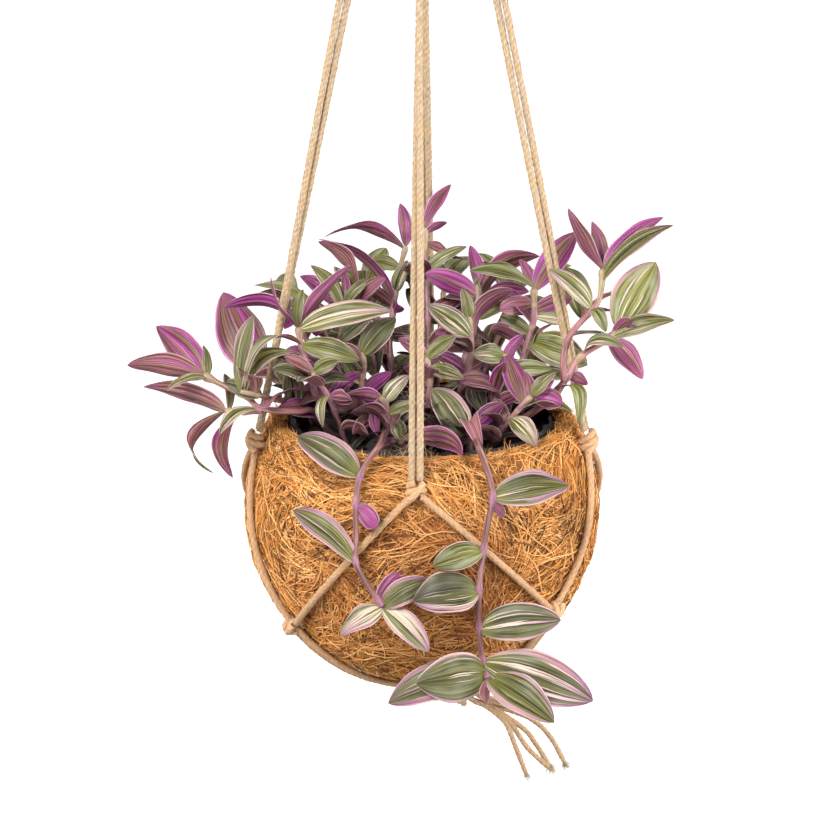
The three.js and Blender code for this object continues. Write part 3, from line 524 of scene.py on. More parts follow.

# %% [markdown]
# The hang loop is the same bundle of strands, whipped round with a thinner cord so that it holds its
# shape on a hook. The gathering knot below it is wound round a core.

# %% The hang loop
half, low, crown = 11, -LOOP_HEIGHT + 3, 3.1
WHIP_LENGTH, WHIP_PITCH, WHIP_CORE, WHIP_CORD = 118, 2.1, 2.35, 0.7
loop_line = [(-2.2, 0, low), (-half * 0.8, 0, low + 12), (-half, 0, -12), (-half * 0.72, 0, crown - 4.6),
             (0, 0, crown), (half * 0.72, 0, crown - 4.6), (half, 0, -12), (half * 0.8, 0, low + 12),
             (2.2, 0, low)]
loop = Heap()
route = evenly(loop_line, 0.3)
run = np.linspace(0, 1, len(route)) * WHIP_LENGTH
whip = WHIP_CORE + WHIP_CORD * np.sqrt(np.abs(np.sin(np.pi * run / WHIP_PITCH)))
shape = tube(route, whip, 20)
tone = np.zeros((len(route), 20, 4))
# Painted shade: the groove channel darkens the cord between the whip turns.
tone[..., 0] = (1 - (whip - WHIP_CORE) / WHIP_CORD)[:, None]
loop.grid(shape, run, np.linspace(0, 6, 21), wrap=True, tone=tone)
for turn in range(6):
    z = GATHER[2] + 6.2 - 2.6 * turn
    a = np.linspace(0, 2 * np.pi, 60)[:, None]
    wide = 9.0 * math.sqrt(max(0.1, 1 - ((z - GATHER[2]) / 10.5) ** 2))
    tilt = 0.9 * np.sin(a + turn)
    ring = np.hstack([wide * np.cos(a), wide * np.sin(a), z + tilt])
    cord_surface(loop, ring, 1.6, 11, shade=0.1)
core = evenly([GATHER + [0, 0, z] for z in (8.0, 3.0, -3.0, -7.5)], 0.8)
wide = 8.2 * np.sqrt(np.clip(1 - ((core[:, 2] - GATHER[2]) / 9) ** 2, 0.05, 1))
# The gathering knot's core lies among the turns, so its groove channel paints shade on it all over.
loop.grid(tube(core, wide, 24), core[:, 2], np.linspace(0, 4, 25), wrap=True, tone=(0.7, 0, 0, 1))
loop_piece = loop.mesh("hang_loop_whipped", [JUTE])
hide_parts("hang_loop")

# %% [markdown]
# Jute is hairy: single fibres stand off the cord. They are very thin three-sided hairs with a curl.


# %% Stray fibres
def three_sided(path, one, two, wide):
    """A triangle of that radius round each point of many paths, in the plane of one and two."""
    a = np.radians([0, 120, 240])[None, None, :, None]
    return path[:, :, None] + wide * (np.cos(a) * one[:, :, None] + np.sin(a) * two[:, :, None])


def hairs(heap, roots, ways, lengths, radius, curl, rng, steps=6, tone=(0, 0.4, 0, 1)):
    """Many thin curved tubes at once. Hair = root + way * s + bend * s^2, with s up to its length;
    its section is a triangle that tapers to half at the tip."""
    n = len(roots)
    s = np.linspace(0, 1, steps + 1)[None, :, None]
    bend = rng.normal(size=(n, 1, 3)) * curl
    long = lengths[:, None, None]
    path = roots[:, None] + ways[:, None] * long * s + bend * long * s**2
    tangent = unit(np.gradient(path, axis=1))
    ref = unit(rng.normal(size=(n, 1, 3)))
    one = unit(np.cross(tangent, ref))
    two = np.cross(tangent, one)
    wide = (radius[:, None, None, None] if np.ndim(radius) else radius) * (1 - 0.5 * s[..., None])
    many_tubes(heap, three_sided(path, one, two, wide), tone)


def many_tubes(heap, points, tone):
    """Adds n closed grids of the same rows and columns at once. points is n, rows, cols, 3; tone is
    one for all or one for each."""
    n, rows, cols, _ = points.shape
    quads = grid_quads(rows, cols, True)
    starts = heap.count + (np.arange(n) * rows * cols)[:, None, None]
    heap.quads.append((quads[None] + starts).reshape(-1, 4))
    one_map = grid_map(rows, cols, True, np.linspace(0, 1, rows), np.linspace(0, 1, cols + 1))
    heap.maps.append(np.tile(one_map, (n, 1)))
    heap.mats.append(np.zeros(n * len(quads), int))
    tone = np.asarray(tone, float)
    tone = np.broadcast_to(tone, (n, 4)) if tone.ndim == 1 else tone
    heap.tones.append(np.repeat(tone, rows * cols, axis=0))
    heap.verts.append(points.reshape(-1, 3))
    heap.count += n * rows * cols


SHORT_HAIRS, END_HAIRS, CURLY_HAIRS = 2600, 70, 150
rng = np.random.default_rng(11)
fuzz = Heap()
routes = [evenly(leg_line(i, k), 2.0) for i in range(4) for k in (0, 1)]
for i, (_, _, legs) in enumerate(NET_KNOTS):
    routes += [evenly(over_ball(RIM_KNOTS[leg], KNOTS[i], 0), 2.0) for leg in legs]
roots = np.concatenate([r[3:-3] for r in routes])
ahead = np.concatenate([unit(np.gradient(r, axis=0))[3:-3] for r in routes])
n = SHORT_HAIRS
pick = rng.integers(0, len(roots), n)
off = unit(rng.normal(size=(n, 3)))
off = unit(off - ahead[pick] * np.sum(off * ahead[pick], 1)[:, None])
ways = unit(ahead[pick] * rng.choice([-1, 1], (n, 1)) * 1.1 + off * rng.uniform(0.1, 0.8, (n, 1)))
roots = roots[pick] + off * STRAND_RADIUS * 0.9
hairs(fuzz, roots, ways, rng.gamma(2.0, 0.85, n) + 0.8, 0.05, 0.3, rng)
n = END_HAIRS
for end, way in TAIL_ENDS:
    ways = unit(way + rng.normal(size=(n, 3)) * 0.42)
    roots = end + rng.normal(size=(n, 3)) * 0.6 - way * 2.2
    hairs(fuzz, roots, ways, rng.uniform(2.0, 4.8, n), 0.13, 0.3, rng)
n = CURLY_HAIRS
front = np.concatenate(routes[:2])
front = front[(front[:, 2] - CENTRE[2] > 30) & (front[:, 2] - CENTRE[2] < 108)]
roots = front[rng.integers(0, len(front), n)]
ways = unit(rng.normal(size=(n, 3)) * [1, 0.5, 0.8])
hairs(fuzz, roots, ways, rng.uniform(4, 10, n), 0.05, 0.9, rng, steps=9)
fuzz_piece = fuzz.mesh("jute_hairs", [JUTE])
print("hairs:", fuzz.count, "points")

# %% [markdown]
# ## The coir ball
# The pot is coconut fibre pressed into a ball. Up close it is a mat of crossing fibres, so the shell
# is a slightly lumpy bowl, dark with the painted shade that fills the gaps between fibres, and the
# fibres lie on it one by one, in every direction, some standing off at the rim.


# %% The coir ball
def lumps(p, size, seed):
    """Smooth lumps from -1 to 1: the mean of sines of p along seeded directions."""
    r = np.random.default_rng(seed)
    k = unit(r.normal(size=(9, 3))) * (2 * np.pi / size) * r.uniform(0.6, 1.6, (9, 1))
    return np.sin(p @ k.T + r.uniform(0, 6.28, 9)).mean(-1) * 2.2


def coir_finish(name, dark, mid, light):
    """Dry, dull brown fibre. The tone says how light a fibre is, how brown, partly from painted shade,
    and how deep it lies in a pit, where painted shade falls. A patch of the noise is about 36 mm wide
    and a fine speck 1.1 mm."""
    material, add = finish(name)
    pale, brown, pit = add("channels", add("tone")).outputs
    place = add("place").outputs["Object"]
    patch = add("noise", place, 28.0, 3.0, 0.55)
    fine = add("noise", place, 900.0, 2.0, 0.55)
    base = add("blend", add("rise", pale, 0.0, 0.5), dark, mid)
    base = add("blend", add("rise", pale, 0.5, 1.0), base, light)
    base = add("blend", add("product", add("rise", patch, 0.5, 0.72), 0.25), base, dark)
    # Browner where the tone says so: partly the fibre's own colour, partly painted shade at the lower
    # front.
    base = add("blend", add("product", brown, 0.55), base, "#9A5329")
    # Painted shade in the pits.
    base = add("blend", pit, base, "#2A1408")
    dressed(add, base, 0.78, fine, 0.0003, 0.8)
    return material


# The mat's dark colours are painted shade deep between the fibres.
COIR_GAP_SHADE = coir_finish("coir_mat_painted_gap_shade", "#3C1F09", "#7A4C20", "#B97A3C")
COIR_FIBRE = coir_finish("coir_fibre_dry", "#5C300D", "#E49B49", "#FFCC86")


BROWN_SHADE_SPOT = unit(hug(430, 590, 0) - CENTRE)


def brownness_and_shade(p):
    """How brown the coir is, from 0 to 1, at points about the ball's centre: partly its own colour and
    partly painted shade. A patch at the lower front, where painted shade falls, and a few soft patches
    elsewhere are browner than the rest, and it is less brown higher up."""
    near = 1.1 - (1 - unit(p) @ BROWN_SHADE_SPOT) / 0.2
    high = np.clip((p[..., 2] - 12) / 25, 0, 1)
    patches = 0.4 * lumps(p, 60, 15) + 0.25 * lumps(p, 22, 16)
    return np.clip(0.8 * np.clip(near, 0, 1) + patches - 0.4 * high, 0, 1)


# Four small pits that the view shows in the mat, each with its radius.
PITS = [(hug(279, 490, 0), 1.9), (hug(279, 497, 0), 1.6), (hug(310, 622, 0), 2.4), (hug(522, 568, 0), 1.7)]


def pitted(p):
    """1 at the middle of a pit, falling to 0 outside, for points about the ball's centre."""
    far = [np.linalg.norm(p + CENTRE - spot, axis=-1) / size for spot, size in PITS]
    return np.exp(-np.min(far, axis=0) ** 4)


LIP_MIDDLE, LIP_HALF = 72.95, 4.45  # of the cut edge, from the pot's axis
lat = np.radians(np.linspace(-90, 29.7, 160))
az = np.linspace(0, 2 * np.pi, 340, endpoint=False)
inner = POT_RADIUS - COIR_THICKNESS
rows = [np.stack([np.cos(lat), np.sin(lat)], 1) * (POT_RADIUS - 0.7)]
edge = np.radians(np.linspace(12, 180, 15))
lip_z = 44.5 + 1.9 * np.sin(edge) - 0.5 * (1 - np.cos(edge))
rows.append(np.stack([LIP_MIDDLE + LIP_HALF * np.cos(edge), lip_z], 1))
down = np.linspace(43.2, SOIL_HEIGHT - 3, 5)
rows.append(np.stack([np.sqrt(inner**2 - down**2) + 0.2, down], 1))
profile = np.concatenate(rows)
shell = np.stack([profile[:, None, 0] * np.cos(az), profile[:, None, 0] * np.sin(az),
                  np.broadcast_to(profile[:, 1:], (len(profile), len(az)))], -1)
swell = 0.45 * lumps(shell, 26, 5) + 0.3 * lumps(shell, 9, 6) - 1.5 * pitted(shell)
shell = shell + unit(shell) * swell[..., None]
bowl = Heap()
tone = np.zeros(shell.shape[:2] + (4,))
tone[..., 0] = 0.3 + 0.25 * np.clip((shell[..., 2] - 22) / 15, 0, 1)
# Second channel: brown, partly painted shade at the lower front; third: painted shade in the pits.
tone[..., 1], tone[..., 2] = brownness_and_shade(shell), pitted(shell)
down, around = np.linspace(0, 1, len(profile)), np.linspace(0, 1, len(az) + 1)
bowl.grid(shell + CENTRE, down, around, wrap=True, tone=tone)
bowl_piece = bowl.mesh("coir_mat", [COIR_GAP_SHADE])
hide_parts("coir_shell")


def grain_of(d):
    """The way most fibres run at directions d: round axes that change slowly over the ball."""
    k = np.stack([lumps(d * POT_RADIUS, 95, seed) for seed in (61, 62, 63)], -1) + [0.35, 0.1, 0.2]
    return unit(np.cross(d, k))


def fibres(heap, count, rng, steps=7):
    """Fibres that lie on the ball. Each is an arc through a seeded point: direction d turns to the
    tangent e by the angle s, d cos s + e sin s, and a side bend makes it curl. Its height is a low
    hump, so both ends sink into the mat."""
    d = all_over(count, rng)
    e = grain_of(d) + rng.normal(size=d.shape) * rng.choice([0.3, 1.6], (count, 1), p=[0.62, 0.38])
    e = unit(e - d * np.sum(e * d, 1)[:, None])
    f = np.cross(d, e)
    length = np.clip(rng.gamma(5.0, 6.0, count), 10, 75) / POT_RADIUS  # mostly 14 to 50 mm
    s = np.linspace(-0.5, 0.5, steps + 1)[None, :, None] * length[:, None, None]
    curl = (rng.normal(size=(count, 1, 1)) * 1.5) * s**2 + rng.normal(size=(count, 1, 1)) * 5 * s**3
    way = unit(d[:, None] * np.cos(s) + e[:, None] * np.sin(s) + f[:, None] * curl)
    hump = 1 - (2 * s[..., 0] / length[:, None]) ** 2
    height = POT_RADIUS - 1.2 + (0.7 + np.minimum(rng.gamma(1.6, 0.5, (count, 1)), 1.7)) * hump
    path = way * height[..., None]
    keep = (path[:, :, 2].max(1) < RIM_HEIGHT + 0.8) & (pitted(path).max(1) < 0.4)
    path, way, n = path[keep], way[keep], int(keep.sum())
    tangent = unit(np.gradient(path, axis=1))
    one = unit(np.cross(tangent, way))
    wide = rng.uniform(0.12, 0.3, (n, 1, 1, 1)) * rng.choice([1, 1.7], (n, 1, 1, 1), p=[0.7, 0.3])
    tones = np.zeros((n, 4))
    tones[:, 0] = rng.beta(1.0, 0.95, n)
    # Browner fibres at the lower front are partly painted shade.
    tones[:, 1] = brownness_and_shade(path[:, 4])
    tones[:, 3] = 1
    many_tubes(heap, three_sided(path, one, way, wide) + CENTRE, tones)
    return n


def all_over(count, rng):
    """Even directions below the rim, a few more close to it."""
    is_near, near = rng.random(count) < 0.1, rng.uniform(0.3, 0.52, count)
    z = np.where(is_near, near, rng.uniform(-1, RIM_HEIGHT / POT_RADIUS, count))
    a = rng.uniform(0, 2 * np.pi, count)
    flat = np.sqrt(1 - z * z)
    return np.stack([flat * np.cos(a), flat * np.sin(a), z], 1)


LAYERS, LAYER_FIBRES = 4, 4600
total = 0
for layer in range(LAYERS):
    mat_of_fibres = Heap()
    total += fibres(mat_of_fibres, LAYER_FIBRES, np.random.default_rng(30 + layer))
    piece = mat_of_fibres.mesh(f"coir_fibres_{layer + 1}", [COIR_FIBRE])

# %% [markdown]
# At the rim the mat was cut, so fibres lie along it in loose rings and many short ends stand up.

# %% The ragged rim
RIM_FIBRES, RIM_ENDS, LOOSE_ENDS = 900, 3400, 700
rng = np.random.default_rng(51)
rim = Heap()
n = RIM_FIBRES
a0 = rng.uniform(0, 2 * np.pi, n)
r0 = rng.uniform(68.8, 76.6, n)
s = np.linspace(-0.5, 0.5, 8)[None, :]
span = rng.uniform(6, 26, n)[:, None] / r0[:, None]
ang = a0[:, None] + s * span
rad = r0[:, None] + rng.normal(size=(n, 1)) * 9 * s + rng.normal(size=(n, 1)) * 8 * s**2
rad = np.clip(rad, 68.4, 77.4)
around = (rad - LIP_MIDDLE) / 4.6
crown_z = 44.3 + 1.9 * np.sqrt(np.clip(1 - around**2, 0, 1)) + 0.5 * around
crown_z = crown_z + rng.uniform(-0.5, 0.5, (n, 1))
crown_z = crown_z + 0.7 * rng.random((n, 1)) * (1 - 4 * s * s)
path = np.stack([rad * np.cos(ang), rad * np.sin(ang), crown_z], -1)
tangent = unit(np.gradient(path, axis=1))
one = unit(np.cross(tangent, [0, 0, 1.0]))
two = np.cross(tangent, one)
wide = rng.uniform(0.12, 0.28, (n, 1, 1, 1))
tones = np.zeros((n, 4))
tones[:, 0] = rng.beta(1.3, 1.1, n)
many_tubes(rim, three_sided(path, one, two, wide) + CENTRE, tones)
n = RIM_ENDS
a0 = rng.uniform(0, 2 * np.pi, n)
r0 = np.clip(77.2 - np.abs(rng.normal(size=n)) * 3.4, 69, 77.2)
foot = np.stack([r0 * np.cos(a0), r0 * np.sin(a0), rng.uniform(41.5, 45.0, n)], 1)
foot[:, :2] += unit(foot[:, :2]) * (45.0 - foot[:, 2:]) * 0.5
swing = a0 + rng.normal(size=n) * 1.1
lean = rng.uniform(0.1, 0.9, n)
ways = unit(np.stack([np.cos(swing) * lean, np.sin(swing) * lean, np.ones(n)], 1))
tones = np.zeros((n, 4))
tones[:, 0] = rng.uniform(0.2, 1, n)
long = np.minimum(rng.gamma(2.4, 1.0, n) + 1.5, 8)
hairs(rim, foot + CENTRE, ways, long, rng.uniform(0.08, 0.2, n), 0.25, rng, steps=4, tone=tones)
n = LOOSE_ENDS
d = all_over(n, rng)
ways = unit(np.cross(d, rng.normal(size=d.shape)) + d * rng.uniform(0.1, 0.55, (n, 1)))
tones = np.zeros((n, 4))
tones[:, 0] = rng.uniform(0.3, 1, n)
long = rng.gamma(2.0, 1.1, n) + 1
hairs(rim, d * POT_RADIUS + CENTRE, ways, long, rng.uniform(0.08, 0.17, n), 0.35, rng, tone=tones)
rim_piece = rim.mesh("coir_rim_fibres", [COIR_FIBRE])
print("fibres:", total + RIM_FIBRES + RIM_ENDS + LOOSE_ENDS)

# %% [markdown]
# ## Film and soil
# A thin black film keeps the water in. Its cut edge stands just above the coir, uneven and dull. The
# soil is a dark crumbly bed with small lumps.

# %% Film and soil
# Black polythene, dull with dust, with creases about 8 mm apart.
film_mat, add = finish("film_black_polythene")
crease = add("noise", add("place").outputs["Object"], 120.0, 3.0, 0.55)
dressed(add, add("blend", crease, "#050506", "#121214"), 0.6, crease, 0.001, 0.8)

FILM_RADIUS, FILM_ROWS, FILM_COLS = 80.6, 16, 220
film = Heap()
z = np.linspace(SOIL_HEIGHT - 3, RIM_HEIGHT + 0.4, FILM_ROWS)[:, None]
a = np.linspace(0, 2 * np.pi, FILM_COLS, endpoint=False)[None, :]
ragged = 0.75 * np.sin(7 * a + 1) * np.sin(3 * a) + 0.45 * np.sin(23 * a + 2)
z = z + ragged * np.clip((z - SOIL_HEIGHT) / 8, 0, 1)
r = np.sqrt(FILM_RADIUS**2 - np.clip(z, 0, 70) ** 2)
r = r + 0.5 * np.sin(11 * a + z * 0.8) + 0.3 * np.sin(29 * a)
sheet = np.stack([r * np.cos(a), r * np.sin(a), z], -1) + CENTRE
inside = sheet[::-1].copy()
inside[..., :2] *= 0.995
for face in (sheet, inside):
    film.grid(face, np.linspace(0, 1, FILM_ROWS), np.linspace(0, 1, FILM_COLS + 1), wrap=True)
film_piece = film.mesh("liner_film_edge", [film_mat])
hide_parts("liner")

# Damp peat, dark and matt, in crumbs of about 2.4 mm.
soil_mat, add = finish("soil_damp_peat")
crumb = add("noise", add("place").outputs["Object"], 420.0, 4.0, 0.7)
base = add("blend", add("rise", crumb, 0.35, 0.7), "#120B07", "#3A281B")
dressed(add, base, 0.9, crumb, 0.0015, 1.0)

BED_RADIUS, BED_ROWS, BED_COLS, CRUMBS = 68.0, 50, 120, 800
bed = Heap()
r = np.linspace(0.01, BED_RADIUS, BED_ROWS)[:, None]
a = np.linspace(0, 2 * np.pi, BED_COLS, endpoint=False)[None, :]
flat = np.stack([r * np.cos(a), r * np.sin(a), 0 * r * a], -1)
height = SOIL_HEIGHT - 0.6 + 1.1 * lumps(flat, 22, 8) + 0.7 * lumps(flat, 7, 9) + 0.35 * lumps(flat, 3, 10)
flat[..., 2] = height - 1.5 * np.clip((r - 60) / 8, 0, 1)
down, around = np.linspace(0, 1, BED_ROWS), np.linspace(0, 1, BED_COLS + 1)
bed.grid((flat + CENTRE)[::-1], down, around, wrap=True)
rng = np.random.default_rng(77)
n = CRUMBS
where = np.sqrt(rng.uniform(0, 1, n)) * 65
turn = rng.uniform(0, 2 * np.pi, n)
size = rng.gamma(2.0, 0.45, n) + 0.4
lat6 = np.radians([-80, -35, 10, 50, 82])[None, :, None]
az6 = np.linspace(0, 2 * np.pi, 6, endpoint=False)[None, None, :]
crumbs = np.stack([np.cos(lat6) * np.cos(az6), np.cos(lat6) * np.sin(az6), np.sin(lat6) + 0 * az6], -1)
crumbs = crumbs * (1 + 0.3 * rng.normal(size=(n, 5, 6, 1))) * size[:, None, None, None]
spot = np.stack([where * np.cos(turn), where * np.sin(turn), SOIL_HEIGHT + rng.uniform(-0.6, 1.0, n)], 1)
many_tubes(bed, crumbs + (spot + CENTRE)[:, None, None], (0, 0, 0, 1))
bed_piece = bed.mesh("soil_bed", [soil_mat])
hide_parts("soil")

# %% [markdown]
# ## The leafy stems
# Each stem is a list: its name, its thickness, the line or lines that it follows, and its leaves. A
# leaf says where its foot shows in the view, where its tip is, how wide it looks, which face shows, t
# the top or u the underside, how far the tip comes forward and, where it isn't usual, how much it bows.

